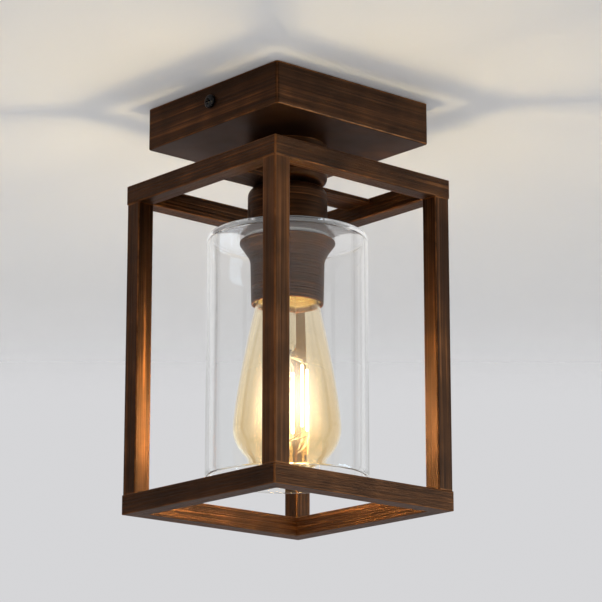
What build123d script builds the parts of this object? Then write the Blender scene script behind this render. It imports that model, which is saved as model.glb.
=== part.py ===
"""Flush mount ceiling light: square canopy, open lantern frame, clear glass and filament bulb.

Millimetres, +Z up. The ceiling is the plane z = 0 and the light hangs below it, round the Z axis.
The front is the -Y side, the right is the +X side.
"""
import os
from math import cos, radians, sin

from build123d import *

# Canopy against the ceiling
CANOPY_WIDTH = 122.0
CANOPY_HEIGHT = 26.0
CANOPY_SHEET = 1.5
CANOPY_CORNER_RADIUS = 2.0
CANOPY_EDGE_RADIUS = 1.0

# Ceiling bracket inside the canopy
BRACKET_WIDTH = 25.0
BRACKET_SHEET = 2.0
BRACKET_EAR_HEIGHT = 18.0
BRACKET_BEND_RADIUS = 1.0
BRACKET_SIDE_CLEARANCE = 0.4
CEILING_SLOT_SPACING = 60.0
CEILING_SLOT_LENGTH = 18.0
CEILING_SLOT_WIDTH = 5.0
CABLE_HOLE_DIAMETER = 10.0
LUG_MARGIN = 3.0

# Side screws that hold the canopy to the bracket
SIDE_SCREW_DROP = 10.0
SIDE_SCREW_HEAD_DIAMETER = 8.4
SIDE_SCREW_HEAD_HEIGHT = 2.2
SIDE_SCREW_HEAD_ROUND = 1.4
SIDE_SCREW_DIAMETER = 4.0
SIDE_SCREW_END = 3.0
RECESS_LENGTH = 4.2
RECESS_WIDTH = 0.9
RECESS_DEPTH = 1.2

# Lantern frame of square tube
FRAME_WIDTH = 140.0
FRAME_HEIGHT = 204.0
FRAME_GAP = 23.0
RAIL_SECTION = 12.0
POST_SECTION = 11.5
POST_INSET = 0.5
TUBE_WALL = 1.4
TUBE_EDGE_RADIUS = 1.0
RING_CORNER_RADIUS = 1.2
BAR_DROP = 1.0
BAR_WIDTH = 22.0
BAR_THICKNESS = 2.5

# Stem tube and the stack that it clamps
STEM_DIAMETER = 10.0
STEM_BORE = 7.2
STEM_END = 1.5
NUT_WIDTH = 14.0
NUT_HEIGHT = 3.5
WASHER_DIAMETER = 18.0
WASHER_THICKNESS = 1.2
TAG_THICKNESS = 0.8
TAG_DIAMETER = 16.0
TAG_TAIL_LENGTH = 21.0
TAG_TAIL_WIDTH = 5.0

# Cups on the axis
SPACER_DIAMETER = 48.6
CUP_DIAMETER = 48.6
CUP_HEIGHT = 29.5
CUP_SHEET = 1.2
SPACER_ROUND = 4.0
CUP_ROUND = 6.0

# Glass shade
GLASS_DIAMETER = 98.0
GLASS_HEIGHT = 149.5
GLASS_WALL = 2.5
GLASS_TOP_THICKNESS = 3.0
GLASS_SHOULDER_RADIUS = 2.5
GLASS_CORNER_RADIUS = 1.5
GLASS_RIM_RADIUS = 1.0
GLASS_HOLE_DIAMETER = 42.0
GASKET_THICKNESS = 1.0
GASKET_DIAMETER = 52.0

# Trumpet shaped ring under the glass
RING_FLANGE_DIAMETER = 58.4
RING_FLANGE_EDGE = 1.4
RING_FLARE_ANGLE = 52.0
RING_WAIST_DIAMETER = 44.6
RING_WAIST_DROP = 14.0
RING_MOUTH_DIAMETER = 43.4
RING_LENGTH = 39.0
RING_WALL = 1.2
RING_THREAD_LENGTH = 7.0

# Lampholder
HOLDER_CAP_HEIGHT = 20.0
HOLDER_CAP_DIAMETER = 38.0
HOLDER_CAP_WALL = 2.0
HOLDER_NECK_DIAMETER = 17.0
HOLDER_NECK_LENGTH = 6.0
HOLDER_DOME_HEIGHT = 9.0
HOLDER_THREAD_DIAMETER = 39.0
HOLDER_SKIRT_LENGTH = 36.0
HOLDER_SKIRT_WALL = 2.1
HOLDER_LEDGE = 2.0
INSERT_HEIGHT = 6.0
SHELL_LENGTH = 26.0
SHELL_SHEET = 0.5
CONTACT_SHEET = 0.6
CONTACT_WIDTH = 6.0
CONTACT_LENGTH = 9.0
CONTACT_DEPTH = 1.6
CONTACT_LIFT = 0.1
HOLDER_TERMINAL_OFFSET = 10.0
HOLDER_TERMINAL_LENGTH = 6.0
HOLDER_TERMINAL_WIDTH = 5.0
HOLDER_TERMINAL_HEIGHT = 5.0
HOLDER_SCREW_HEAD_DIAMETER = 3.6
HOLDER_SCREW_HEAD_HEIGHT = 1.4
HOLDER_SCREW_SLOT = 0.6
GRUB_DIAMETER = 3.0
GRUB_DROP = 3.0

# Filament bulb
BULB_DIAMETER = 65.0
BULB_LENGTH = 143.0
BULB_WALL = 0.9
BULB_FLANK_ANGLE = 11.0
BULB_FOOT_ANGLE = 4.0
BULB_BELLY_RADIUS = 22.0
BULB_BELLY_HEIGHT = 27.0
BULB_NECK_DIAMETER = 24.6
BULB_NECK_INSERT = 7.0
BULB_SHOULDER_HEIGHT = 7.5
BULB_SHOULDER_DIAMETER = 36.4
BULB_CAP_DIAMETER = 26.2
BULB_CAP_HEIGHT = 27.5
BULB_CAP_SHEET = 0.5
BULB_CAP_SHELL_LENGTH = 21.0
BULB_TIP_DIAMETER = 9.6
BULB_TIP_HEIGHT = 1.2
BULB_STEM_DIAMETER = 10.0
BULB_STEM_LENGTH = 50.0
BULB_STEM_FLARE_HEIGHT = 14.0
BULB_ROD_DIAMETER = 4.4
BULB_ROD_LENGTH = 14.0
FILAMENT_COUNT = 6
FILAMENT_DIAMETER = 1.8
FILAMENT_LENGTH = 38.0
FILAMENT_CIRCLE = 24.8
FILAMENT_START_ANGLE = 4.0
FILAMENT_CENTRE_RISE = 45.0
WIRE_DIAMETER = 0.8
WIRE_TAIL = 3.0
WELD_DIAMETER = 1.2
WIRE_RISE = 12.0
WIRE_DROP = 7.0

# Supply terminals and leads
POLE_PITCH = 10.5
POLE_DIAMETER = 8.0
BLOCK_LENGTH = 17.0
BLOCK_GAP = 3.5
BLOCK_POLE_DROP = 6.5
TOWER_DIAMETER = 6.4
TOWER_SPACING = 9.0
TOWER_HEIGHT = 6.0
CLAMP_DIAMETER = 4.6
CLAMP_BORE = 3.0
CLAMP_END = 1.0
TERMINAL_SCREW_DIAMETER = 2.6
TERMINAL_SCREW_SINK = 0.6
FIXING_WEB = 2.5
FIXING_SCREW_DIAMETER = 2.4
FIXING_SCREW_HEAD_DIAMETER = 4.0
FIXING_SCREW_HEAD_HEIGHT = 1.6
EARTH_SCREW_DIAMETER = 4.0
EARTH_SCREW_HEAD_DIAMETER = 7.0
EARTH_SCREW_HEAD_HEIGHT = 2.6
EARTH_SCREW_OFFSET = 12.5
LEAD_DIAMETER = 2.0
LEAD_SPACING = 3.2
LEAD_BEND = 3.0

# Fits
THREAD_CLEARANCE = 0.05
HOLE_CLEARANCE = 0.25
TURN_CLEARANCE = 0.35
SEAT_CLEARANCE = 0.3

# Levels down the axis, from the ceiling
canopy_bottom = -CANOPY_HEIGHT
canopy_floor = canopy_bottom + CANOPY_SHEET
frame_top = canopy_bottom - FRAME_GAP
frame_bottom = frame_top - FRAME_HEIGHT
bar_top = frame_top - BAR_DROP
cup_top = bar_top - BAR_THICKNESS
cup_bottom = cup_top - CUP_HEIGHT
glass_top = cup_bottom - GASKET_THICKNESS
glass_underside = glass_top - GLASS_TOP_THICKNESS
glass_bottom = glass_top - GLASS_HEIGHT
ring_top = glass_underside - GASKET_THICKNESS
ring_bottom = ring_top - RING_LENGTH
upper_washer_bottom = canopy_floor + TAG_THICKNESS
upper_nut_bottom = upper_washer_bottom + WASHER_THICKNESS
stem_top = upper_nut_bottom + NUT_HEIGHT + STEM_END
lower_washer_bottom = cup_top - CUP_SHEET - WASHER_THICKNESS
lower_nut_bottom = lower_washer_bottom - NUT_HEIGHT
holder_top = lower_nut_bottom
stem_bottom = holder_top - HOLDER_NECK_LENGTH
holder_cap_bottom = holder_top - HOLDER_CAP_HEIGHT
insert_bottom = holder_cap_bottom - INSERT_HEIGHT
skirt_bottom = holder_cap_bottom - HOLDER_SKIRT_LENGTH
shell_bottom = insert_bottom - SHELL_LENGTH
bulb_tip = insert_bottom - CONTACT_DEPTH
bulb_rim = bulb_tip - BULB_CAP_HEIGHT
bulb_bottom = bulb_tip - BULB_LENGTH

# Radii that fit one inside the next
stem_radius = STEM_DIAMETER / 2
stem_hole = stem_radius + HOLE_CLEARANCE
stem_thread = stem_radius + THREAD_CLEARANCE
thread_radius = HOLDER_THREAD_DIAMETER / 2
skirt_inside = thread_radius - HOLDER_SKIRT_WALL
shell_inside = BULB_CAP_DIAMETER / 2 + TURN_CLEARANCE
side_screw_level = -SIDE_SCREW_DROP
bracket_reach = CANOPY_WIDTH / 2 - CANOPY_SHEET - BRACKET_SIDE_CLEARANCE

# Terminal block place, on a lug at the right edge of the bracket
block_left = BRACKET_WIDTH / 2 + BLOCK_GAP
block_middle = block_left + BLOCK_LENGTH / 2
pole_level = -BRACKET_SHEET - BLOCK_POLE_DROP
tower_bottom = pole_level - TOWER_HEIGHT
fixing_offset = POLE_PITCH / 2
fixing_seat = -BRACKET_SHEET - FIXING_WEB
tower_places = [
    (block_middle + side * TOWER_SPACING / 2, pole * POLE_PITCH) for side in (-1, 1) for pole in (-1, 0, 1)
]

os.makedirs("parts", exist_ok=True)


def save(piece, name):
    """Label a finished piece and write it as one file."""
    piece.part.label = name
    export_step(piece.part, f"parts/{name}.step")


def turned(angle, height):
    """Level plane at a height, turned about the vertical axis."""
    return Plane(origin=(0, 0, height), x_dir=Vector(1, 0, 0).rotate(Axis.Z, angle), z_dir=(0, 0, 1))


def washer(inner, outer, bottom, thickness):
    """Flat ring on the axis, added to the part being built."""
    with BuildSketch(Plane.XY.offset(bottom)) as flat_ring:
        Circle(outer)
        Circle(inner, mode=Mode.SUBTRACT)
    extrude(flat_ring.sketch, amount=thickness)


def rod(start, end, diameter):
    """Straight wire between two points, added to the part being built."""
    run = Vector(end) - Vector(start)
    with BuildSketch(Plane(origin=start, z_dir=run)) as section:
        Circle(diameter / 2)
    extrude(section.sketch, amount=run.length)


def bent_wire(points, diameter, bend):
    """Round wire along straight runs with rounded corners, added to the part being built."""
    with BuildLine() as route:
        FilletPolyline(*points, radius=bend)
    with BuildSketch(Plane(origin=route.line @ 0, z_dir=route.line % 0)) as section:
        Circle(diameter / 2)
    sweep(section.sketch, path=route.line)


# Ceiling bracket: strap with turned-down ears and a lug for the terminal block
with BuildPart() as ceiling_bracket:
    with BuildSketch(Plane.YZ):
        with Locations((0, -BRACKET_EAR_HEIGHT / 2)):
            Rectangle(2 * bracket_reach, BRACKET_EAR_HEIGHT)
        with Locations((0, -BRACKET_SHEET - BRACKET_EAR_HEIGHT / 2)):
            Rectangle(2 * (bracket_reach - BRACKET_SHEET), BRACKET_EAR_HEIGHT, mode=Mode.SUBTRACT)
    extrude(amount=BRACKET_WIDTH / 2, both=True)
    long_edges = ceiling_bracket.edges().filter_by(Axis.X)
    fillet(long_edges.group_by(Axis.Z)[-1], BRACKET_BEND_RADIUS + BRACKET_SHEET)
    fillet(ceiling_bracket.edges().filter_by(Axis.X).filter_by_position(
        Axis.Z, -BRACKET_SHEET - SEAT_CLEARANCE, -BRACKET_SHEET + SEAT_CLEARANCE), BRACKET_BEND_RADIUS)
    lug_right = block_left + BLOCK_LENGTH + LUG_MARGIN
    with BuildSketch(Plane.XY.offset(-BRACKET_SHEET)):
        with Locations((lug_right / 2, 0)):
            RectangleRounded(lug_right, 2 * POLE_PITCH + POLE_DIAMETER, LUG_MARGIN)
    extrude(amount=BRACKET_SHEET)
    with BuildSketch(Plane.XY):
        Circle(CABLE_HOLE_DIAMETER / 2)
        with GridLocations(0, CEILING_SLOT_SPACING, 1, 2):
            SlotOverall(CEILING_SLOT_LENGTH, CEILING_SLOT_WIDTH, rotation=90)
        with Locations((0, -EARTH_SCREW_OFFSET)):
            Circle(EARTH_SCREW_DIAMETER / 2 + THREAD_CLEARANCE)
        with Locations((block_middle, -fixing_offset)):
            Circle(FIXING_SCREW_DIAMETER / 2 + THREAD_CLEARANCE)
    extrude(amount=-BRACKET_SHEET, mode=Mode.SUBTRACT)
    with BuildSketch(Plane.XZ):
        with Locations((0, side_screw_level)):
            Circle(SIDE_SCREW_DIAMETER / 2 + THREAD_CLEARANCE)
    extrude(amount=CANOPY_WIDTH, both=True, mode=Mode.SUBTRACT)
save(ceiling_bracket, "ceiling_bracket")

# Earth screw of the bracket, head below the strap
with BuildPart() as bracket_earth_screw:
    with BuildSketch(Plane.XY.offset(-BRACKET_SHEET)):
        with Locations((0, -EARTH_SCREW_OFFSET)):
            Circle(EARTH_SCREW_HEAD_DIAMETER / 2)
    extrude(amount=-EARTH_SCREW_HEAD_HEIGHT)
    with BuildSketch(Plane.XY.offset(-BRACKET_SHEET - EARTH_SCREW_HEAD_HEIGHT)):
        with Locations((0, -EARTH_SCREW_OFFSET)):
            Rectangle(EARTH_SCREW_HEAD_DIAMETER, RECESS_WIDTH)
    extrude(amount=RECESS_DEPTH, mode=Mode.SUBTRACT)
    with BuildSketch(Plane.XY.offset(-BRACKET_SHEET)):
        with Locations((0, -EARTH_SCREW_OFFSET)):
            Circle(EARTH_SCREW_DIAMETER / 2)
    extrude(amount=BRACKET_SHEET)
save(bracket_earth_screw, "bracket_earth_screw")

# Canopy: folded square box, open towards the ceiling
with BuildPart() as canopy:
    with BuildSketch(Plane.XY.offset(canopy_bottom)):
        RectangleRounded(CANOPY_WIDTH, CANOPY_WIDTH, CANOPY_CORNER_RADIUS)
    extrude(amount=CANOPY_HEIGHT)
    fillet(canopy.edges().group_by(Axis.Z)[0], CANOPY_EDGE_RADIUS)
    inside_width = CANOPY_WIDTH - 2 * CANOPY_SHEET
    with BuildSketch(Plane.XY.offset(canopy_floor)):
        Rectangle(inside_width, inside_width)
    extrude(amount=CANOPY_HEIGHT, mode=Mode.SUBTRACT)
    with BuildSketch(Plane.XY.offset(canopy_bottom)):
        Circle(stem_hole)
    extrude(amount=CANOPY_SHEET, mode=Mode.SUBTRACT)
    with BuildSketch(Plane.XZ):
        with Locations((0, side_screw_level)):
            Circle(SIDE_SCREW_DIAMETER / 2 + HOLE_CLEARANCE)
    extrude(amount=CANOPY_WIDTH, both=True, mode=Mode.SUBTRACT)
save(canopy, "canopy")

# Side screws: round heads with a cross recess, one on the front and one on the back
for side, name in ((-1, "canopy_screw_front"), (1, "canopy_screw_back")):
    wall = Plane(origin=(0, side * CANOPY_WIDTH / 2, side_screw_level), x_dir=(1, 0, 0), z_dir=(0, side, 0))
    with BuildPart() as side_screw:
        with BuildSketch(wall):
            Circle(SIDE_SCREW_HEAD_DIAMETER / 2)
        extrude(amount=SIDE_SCREW_HEAD_HEIGHT)
        fillet(side_screw.edges().sort_by(Axis((0, 0, 0), (0, side, 0)))[-1], SIDE_SCREW_HEAD_ROUND)
        with BuildSketch(wall.offset(SIDE_SCREW_HEAD_HEIGHT)):
            Rectangle(RECESS_LENGTH, RECESS_WIDTH)
            Rectangle(RECESS_WIDTH, RECESS_LENGTH)
        extrude(amount=-RECESS_DEPTH, mode=Mode.SUBTRACT)
        with BuildSketch(wall):
            Circle(SIDE_SCREW_DIAMETER / 2)
        extrude(amount=-(CANOPY_SHEET + BRACKET_SIDE_CLEARANCE + BRACKET_SHEET + SIDE_SCREW_END))
    save(side_screw, name)

# Terminal block: row of round poles on a web, with screw towers below
with BuildPart() as terminal_block:
    with BuildSketch(Plane.YZ.offset(block_left)):
        with Locations((0, (pole_level - BRACKET_SHEET) / 2)):
            Rectangle(2 * POLE_PITCH + POLE_DIAMETER, BLOCK_POLE_DROP)
        with Locations((0, pole_level)):
            with GridLocations(POLE_PITCH, 0, 3, 1):
                Circle(POLE_DIAMETER / 2)
    extrude(amount=BLOCK_LENGTH)
    with BuildSketch(Plane.XY.offset(pole_level)):
        with Locations(*tower_places):
            Circle(TOWER_DIAMETER / 2)
    extrude(amount=-TOWER_HEIGHT)
    with BuildSketch(Plane.YZ.offset(block_left)):
        with Locations((0, pole_level)):
            with GridLocations(POLE_PITCH, 0, 3, 1):
                Circle(CLAMP_DIAMETER / 2 + THREAD_CLEARANCE)
    extrude(amount=BLOCK_LENGTH, mode=Mode.SUBTRACT)
    with BuildSketch(Plane.XY.offset(tower_bottom)):
        with Locations(*tower_places):
            Circle(TERMINAL_SCREW_DIAMETER / 2 + HOLE_CLEARANCE)
    extrude(amount=TOWER_HEIGHT, mode=Mode.SUBTRACT)
    with BuildSketch(Plane.XY.offset(-BRACKET_SHEET)):
        with Locations((block_middle, -fixing_offset)):
            Circle(FIXING_SCREW_DIAMETER / 2 + HOLE_CLEARANCE)
    extrude(amount=-FIXING_WEB, mode=Mode.SUBTRACT)
    with BuildSketch(Plane.XY.offset(fixing_seat)):
        with Locations((block_middle, -fixing_offset)):
            Circle(FIXING_SCREW_HEAD_DIAMETER / 2 + HOLE_CLEARANCE)
    extrude(amount=tower_bottom - fixing_seat, mode=Mode.SUBTRACT)
save(terminal_block, "terminal_block")

# Brass clamps inside the block, each with two tapped holes
with BuildPart() as terminal_clamps:
    with BuildSketch(Plane.YZ.offset(block_left + CLAMP_END)):
        with Locations((0, pole_level)):
            with GridLocations(POLE_PITCH, 0, 3, 1):
                Circle(CLAMP_DIAMETER / 2)
                Circle(CLAMP_BORE / 2, mode=Mode.SUBTRACT)
    extrude(amount=BLOCK_LENGTH - 2 * CLAMP_END)
    with BuildSketch(Plane.XY.offset(tower_bottom)):
        with Locations(*tower_places):
            Circle(TERMINAL_SCREW_DIAMETER / 2 + THREAD_CLEARANCE)
    extrude(amount=TOWER_HEIGHT, mode=Mode.SUBTRACT)
save(terminal_clamps, "terminal_clamps")

# Terminal screws in the towers
with BuildPart() as terminal_screws:
    with BuildSketch(Plane.XY.offset(tower_bottom + TERMINAL_SCREW_SINK)):
        with Locations(*tower_places):
            Circle(TERMINAL_SCREW_DIAMETER / 2)
    extrude(amount=TOWER_HEIGHT - CLAMP_BORE / 2 - TERMINAL_SCREW_SINK)
save(terminal_screws, "terminal_screws")

# Screw that holds the block to the lug
with BuildPart() as terminal_fixing_screw:
    with BuildSketch(Plane.XY.offset(fixing_seat)):
        with Locations((block_middle, -fixing_offset)):
            Circle(FIXING_SCREW_HEAD_DIAMETER / 2)
    extrude(amount=-FIXING_SCREW_HEAD_HEIGHT)
    with BuildSketch(Plane.XY.offset(fixing_seat)):
        with Locations((block_middle, -fixing_offset)):
            Circle(FIXING_SCREW_DIAMETER / 2)
    extrude(amount=-fixing_seat)
save(terminal_fixing_screw, "terminal_fixing_screw")

# Stem: hollow threaded tube from the canopy to the lampholder
with BuildPart() as stem_tube:
    washer(STEM_BORE / 2, stem_radius, stem_bottom, stem_top - stem_bottom)
save(stem_tube, "stem_tube")

# Two lock nuts, on the canopy floor and under the holder cup
with BuildPart() as stem_nuts:
    for level in (upper_nut_bottom, lower_nut_bottom):
        with BuildSketch(Plane.XY.offset(level)):
            RegularPolygon(NUT_WIDTH / 2, 6, major_radius=False)
            Circle(stem_thread, mode=Mode.SUBTRACT)
        extrude(amount=NUT_HEIGHT)
save(stem_nuts, "stem_nuts")

with BuildPart() as stem_washers:
    for level in (upper_washer_bottom, lower_washer_bottom):
        washer(stem_hole, WASHER_DIAMETER / 2, level, WASHER_THICKNESS)
save(stem_washers, "stem_washers")

# Earth tag: ring under the upper washer, with a tail for the earth lead
with BuildPart() as earth_tag:
    with BuildSketch(Plane.XY.offset(canopy_floor)):
        Circle(TAG_DIAMETER / 2)
        with Locations((TAG_TAIL_LENGTH / 2, 0)):
            Rectangle(TAG_TAIL_LENGTH, TAG_TAIL_WIDTH)
        Circle(stem_hole, mode=Mode.SUBTRACT)
    extrude(amount=TAG_THICKNESS)
save(earth_tag, "earth_tag")

# Spacer: drawn cup, mouth against the canopy and floor on the cross bar
with BuildPart() as spacer_cup:
    with BuildSketch(Plane.XY.offset(bar_top)):
        Circle(SPACER_DIAMETER / 2)
    extrude(amount=canopy_bottom - bar_top)
    fillet(spacer_cup.edges().group_by(Axis.Z)[0], SPACER_ROUND)
    offset(amount=-CUP_SHEET, openings=spacer_cup.faces().sort_by(Axis.Z)[-1])
    with BuildSketch(Plane.XY.offset(bar_top)):
        Circle(stem_hole)
    extrude(amount=CUP_SHEET, mode=Mode.SUBTRACT)
save(spacer_cup, "spacer_cup")

# Cross bar between the front and back top rails
with BuildPart() as cross_bar:
    with BuildSketch(Plane.XY.offset(cup_top)):
        Rectangle(BAR_WIDTH, FRAME_WIDTH - 2 * RAIL_SECTION)
        Circle(stem_hole, mode=Mode.SUBTRACT)
    extrude(amount=BAR_THICKNESS)
save(cross_bar, "cross_bar")

# Rails: square tube, mitred at both ends, with the ring's outer corners rounded
SIDES = ((0, "front"), (90, "right"), (180, "back"), (270, "left"))
for ring, ring_middle in (("top", frame_top - RAIL_SECTION / 2), ("bottom", frame_bottom + RAIL_SECTION / 2)):
    for angle, side_name in SIDES:
        level = turned(angle, ring_middle)
        tube_start = level.from_local_coords(Vector(0, -(FRAME_WIDTH - RAIL_SECTION) / 2, 0))
        with BuildPart() as rail:
            with BuildSketch(Plane(origin=tube_start, x_dir=level.y_dir, z_dir=level.x_dir)):
                RectangleRounded(RAIL_SECTION, RAIL_SECTION, TUBE_EDGE_RADIUS)
                Rectangle(RAIL_SECTION - 2 * TUBE_WALL, RAIL_SECTION - 2 * TUBE_WALL, mode=Mode.SUBTRACT)
            extrude(amount=FRAME_WIDTH / 2, both=True)
            with BuildSketch(level):
                RectangleRounded(FRAME_WIDTH, FRAME_WIDTH, RING_CORNER_RADIUS)
                with BuildLine():
                    Polyline((0, 0), (-FRAME_WIDTH, -FRAME_WIDTH), (FRAME_WIDTH, -FRAME_WIDTH), close=True)
                make_face(mode=Mode.INTERSECT)
            extrude(amount=RAIL_SECTION / 2, both=True, mode=Mode.INTERSECT)
        save(rail, f"{ring}_rail_{side_name}")

# Posts: square tube standing between the rings, a little inside their outline
post_reach = FRAME_WIDTH / 2 - POST_INSET - POST_SECTION / 2
for y_side, y_name in ((-1, "front"), (1, "back")):
    for x_side, x_name in ((1, "right"), (-1, "left")):
        with BuildPart() as post:
            with BuildSketch(Plane.XY.offset(frame_bottom + RAIL_SECTION)):
                with Locations((x_side * post_reach, y_side * post_reach)):
                    RectangleRounded(POST_SECTION, POST_SECTION, TUBE_EDGE_RADIUS)
                    Rectangle(POST_SECTION - 2 * TUBE_WALL, POST_SECTION - 2 * TUBE_WALL, mode=Mode.SUBTRACT)
            extrude(amount=FRAME_HEIGHT - 2 * RAIL_SECTION)
        save(post, f"post_{y_name}_{x_name}")

# Holder cup: drawn cup, floor under the cross bar and mouth towards the glass
with BuildPart() as holder_cup:
    with BuildSketch(Plane.XY.offset(cup_bottom)):
        Circle(CUP_DIAMETER / 2)
    extrude(amount=CUP_HEIGHT)
    fillet(holder_cup.edges().group_by(Axis.Z)[-1], CUP_ROUND)
    offset(amount=-CUP_SHEET, openings=holder_cup.faces().sort_by(Axis.Z)[0])
    with BuildSketch(Plane.XY.offset(cup_top)):
        Circle(stem_hole)
    extrude(amount=-CUP_SHEET, mode=Mode.SUBTRACT)
save(holder_cup, "holder_cup")

# Soft rings above and below the glass
for level, name in ((glass_top, "shade_gasket_upper"), (ring_top, "shade_gasket_lower")):
    with BuildPart() as gasket:
        washer(GLASS_HOLE_DIAMETER / 2, GASKET_DIAMETER / 2, level, GASKET_THICKNESS)
    save(gasket, name)

# Glass shade: blown cylinder, flat top with a hole, open below
with BuildPart() as glass_shade:
    glass_outside = GLASS_DIAMETER / 2
    glass_inside = glass_outside - GLASS_WALL
    with BuildSketch(Plane.XZ):
        with BuildLine():
            Polyline(
                (GLASS_HOLE_DIAMETER / 2, glass_top),
                (glass_outside, glass_top),
                (glass_outside, glass_bottom),
                (glass_inside, glass_bottom),
                (glass_inside, glass_underside),
                (GLASS_HOLE_DIAMETER / 2, glass_underside),
                close=True,
            )
        make_face()
    revolve(axis=Axis.Z)
    rim, underside, top = glass_shade.edges().filter_by(GeomType.CIRCLE).group_by(Axis.Z)
    fillet(underside.sort_by(SortBy.RADIUS)[-1], GLASS_CORNER_RADIUS)
    fillet(rim, GLASS_RIM_RADIUS)
    fillet(top.sort_by(SortBy.RADIUS)[-1], GLASS_SHOULDER_RADIUS)
save(glass_shade, "glass_shade")

# Shade ring: flange, trumpet curve and tapered sleeve, with a plain bore where its thread runs
with BuildPart() as shade_ring:
    flange = RING_FLANGE_DIAMETER / 2
    waist = RING_WAIST_DIAMETER / 2
    mouth = RING_MOUTH_DIAMETER / 2
    ring_bore = thread_radius + THREAD_CLEARANCE
    flare = radians(RING_FLARE_ANGLE)
    taper = Vector(mouth - waist, ring_bottom - ring_top + RING_WAIST_DROP)
    with BuildSketch(Plane.XZ):
        with BuildLine():
            Polyline((ring_bore, ring_top), (flange, ring_top), (flange, ring_top - RING_FLANGE_EDGE))
            Spline(
                (flange, ring_top - RING_FLANGE_EDGE),
                (waist, ring_top - RING_WAIST_DROP),
                tangents=((-cos(flare), -sin(flare)), taper),
            )
            Polyline(
                (waist, ring_top - RING_WAIST_DROP),
                (mouth, ring_bottom),
                (mouth - RING_WALL, ring_bottom),
                (waist - RING_WALL, ring_top - RING_WAIST_DROP),
                (waist - RING_WALL, ring_top - RING_THREAD_LENGTH),
                (ring_bore, ring_top - RING_THREAD_LENGTH),
                (ring_bore, ring_top),
            )
        make_face()
    revolve(axis=Axis.Z)
save(shade_ring, "shade_ring")

# Lampholder cap: neck on the stem, domed shoulder and short wall
with BuildPart() as lampholder_cap:
    cap_outside = HOLDER_CAP_DIAMETER / 2
    cap_inside = cap_outside - HOLDER_CAP_WALL
    neck_outside = HOLDER_NECK_DIAMETER / 2
    dome_top = holder_top - HOLDER_NECK_LENGTH
    dome_foot = dome_top - HOLDER_DOME_HEIGHT
    inner_dome_top = dome_top - HOLDER_CAP_WALL
    with BuildSketch(Plane.XZ):
        with BuildLine():
            Polyline((stem_thread, holder_top), (neck_outside, holder_top), (neck_outside, dome_top))
            TangentArc((cap_outside, dome_foot), (neck_outside, dome_top), tangent=(0, 1))
            Polyline(
                (cap_outside, dome_foot),
                (cap_outside, holder_cap_bottom),
                (cap_inside, holder_cap_bottom),
                (cap_inside, dome_foot),
            )
            TangentArc((cap_inside, dome_foot), (neck_outside, inner_dome_top), tangent=(0, 1))
            Polyline((neck_outside, inner_dome_top), (stem_thread, inner_dome_top), (stem_thread, holder_top))
        make_face()
    revolve(axis=Axis.Z)
    with BuildSketch(Plane.YZ):
        with Locations((0, holder_top - GRUB_DROP)):
            Circle(GRUB_DIAMETER / 2 + THREAD_CLEARANCE)
    extrude(amount=neck_outside, mode=Mode.SUBTRACT)
save(lampholder_cap, "lampholder_cap")

# Grub screw that locks the cap on the stem
with BuildPart() as lampholder_grub_screw:
    with BuildSketch(Plane.YZ.offset(stem_thread)):
        with Locations((0, holder_top - GRUB_DROP)):
            Circle(GRUB_DIAMETER / 2)
    extrude(amount=neck_outside - stem_thread)
save(lampholder_grub_screw, "lampholder_grub_screw")

# Lampholder skirt: outer wall that carries the ring's thread, with a ledge for the insert
with BuildPart() as lampholder_skirt:
    washer(skirt_inside, thread_radius, skirt_bottom, HOLDER_SKIRT_LENGTH)
    washer(skirt_inside - HOLDER_LEDGE, thread_radius, insert_bottom - HOLDER_LEDGE, HOLDER_LEDGE)
save(lampholder_skirt, "lampholder_skirt")

# Insert: insulating disc on the ledge
with BuildPart() as lampholder_insert:
    with BuildSketch(Plane.XY.offset(insert_bottom)):
        Circle(skirt_inside - HOLE_CLEARANCE)
    extrude(amount=INSERT_HEIGHT)
save(lampholder_insert, "lampholder_insert")

# Screw shell that the bulb turns in, riveted to the insert by its flange
with BuildPart() as lampholder_shell:
    shell_flange = skirt_inside - HOLDER_LEDGE - SEAT_CLEARANCE
    washer(shell_inside, shell_inside + SHELL_SHEET, shell_bottom, SHELL_LENGTH)
    washer(shell_inside, shell_flange, insert_bottom - SHELL_SHEET, SHELL_SHEET)
save(lampholder_shell, "lampholder_shell")

# Centre contact: bent spring strip under the insert
with BuildPart() as lampholder_contact:
    contact_step = CONTACT_DEPTH - CONTACT_LIFT - CONTACT_SHEET
    with BuildSketch(Plane.XZ):
        with BuildLine():
            Polyline(
                (-CONTACT_LENGTH, insert_bottom),
                (-CONTACT_LENGTH / 2, insert_bottom),
                (-BULB_TIP_DIAMETER / 4, insert_bottom - contact_step),
                (BULB_TIP_DIAMETER / 2, insert_bottom - contact_step),
                (BULB_TIP_DIAMETER / 2, insert_bottom - contact_step - CONTACT_SHEET),
                (-BULB_TIP_DIAMETER / 4, insert_bottom - contact_step - CONTACT_SHEET),
                (-CONTACT_LENGTH / 2, insert_bottom - CONTACT_SHEET),
                (-CONTACT_LENGTH, insert_bottom - CONTACT_SHEET),
                close=True,
            )
        make_face()
    extrude(amount=CONTACT_WIDTH / 2, both=True)
save(lampholder_contact, "lampholder_contact")

# Brass terminals on the insert, and their screws
terminal_places = ((0, -HOLDER_TERMINAL_OFFSET), (0, HOLDER_TERMINAL_OFFSET))
terminal_top = holder_cap_bottom + HOLDER_TERMINAL_HEIGHT
with BuildPart() as lampholder_terminals:
    with BuildSketch(Plane.XY.offset(holder_cap_bottom)):
        with Locations(*terminal_places):
            Rectangle(HOLDER_TERMINAL_WIDTH, HOLDER_TERMINAL_LENGTH)
    extrude(amount=HOLDER_TERMINAL_HEIGHT)
save(lampholder_terminals, "lampholder_terminals")

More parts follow.
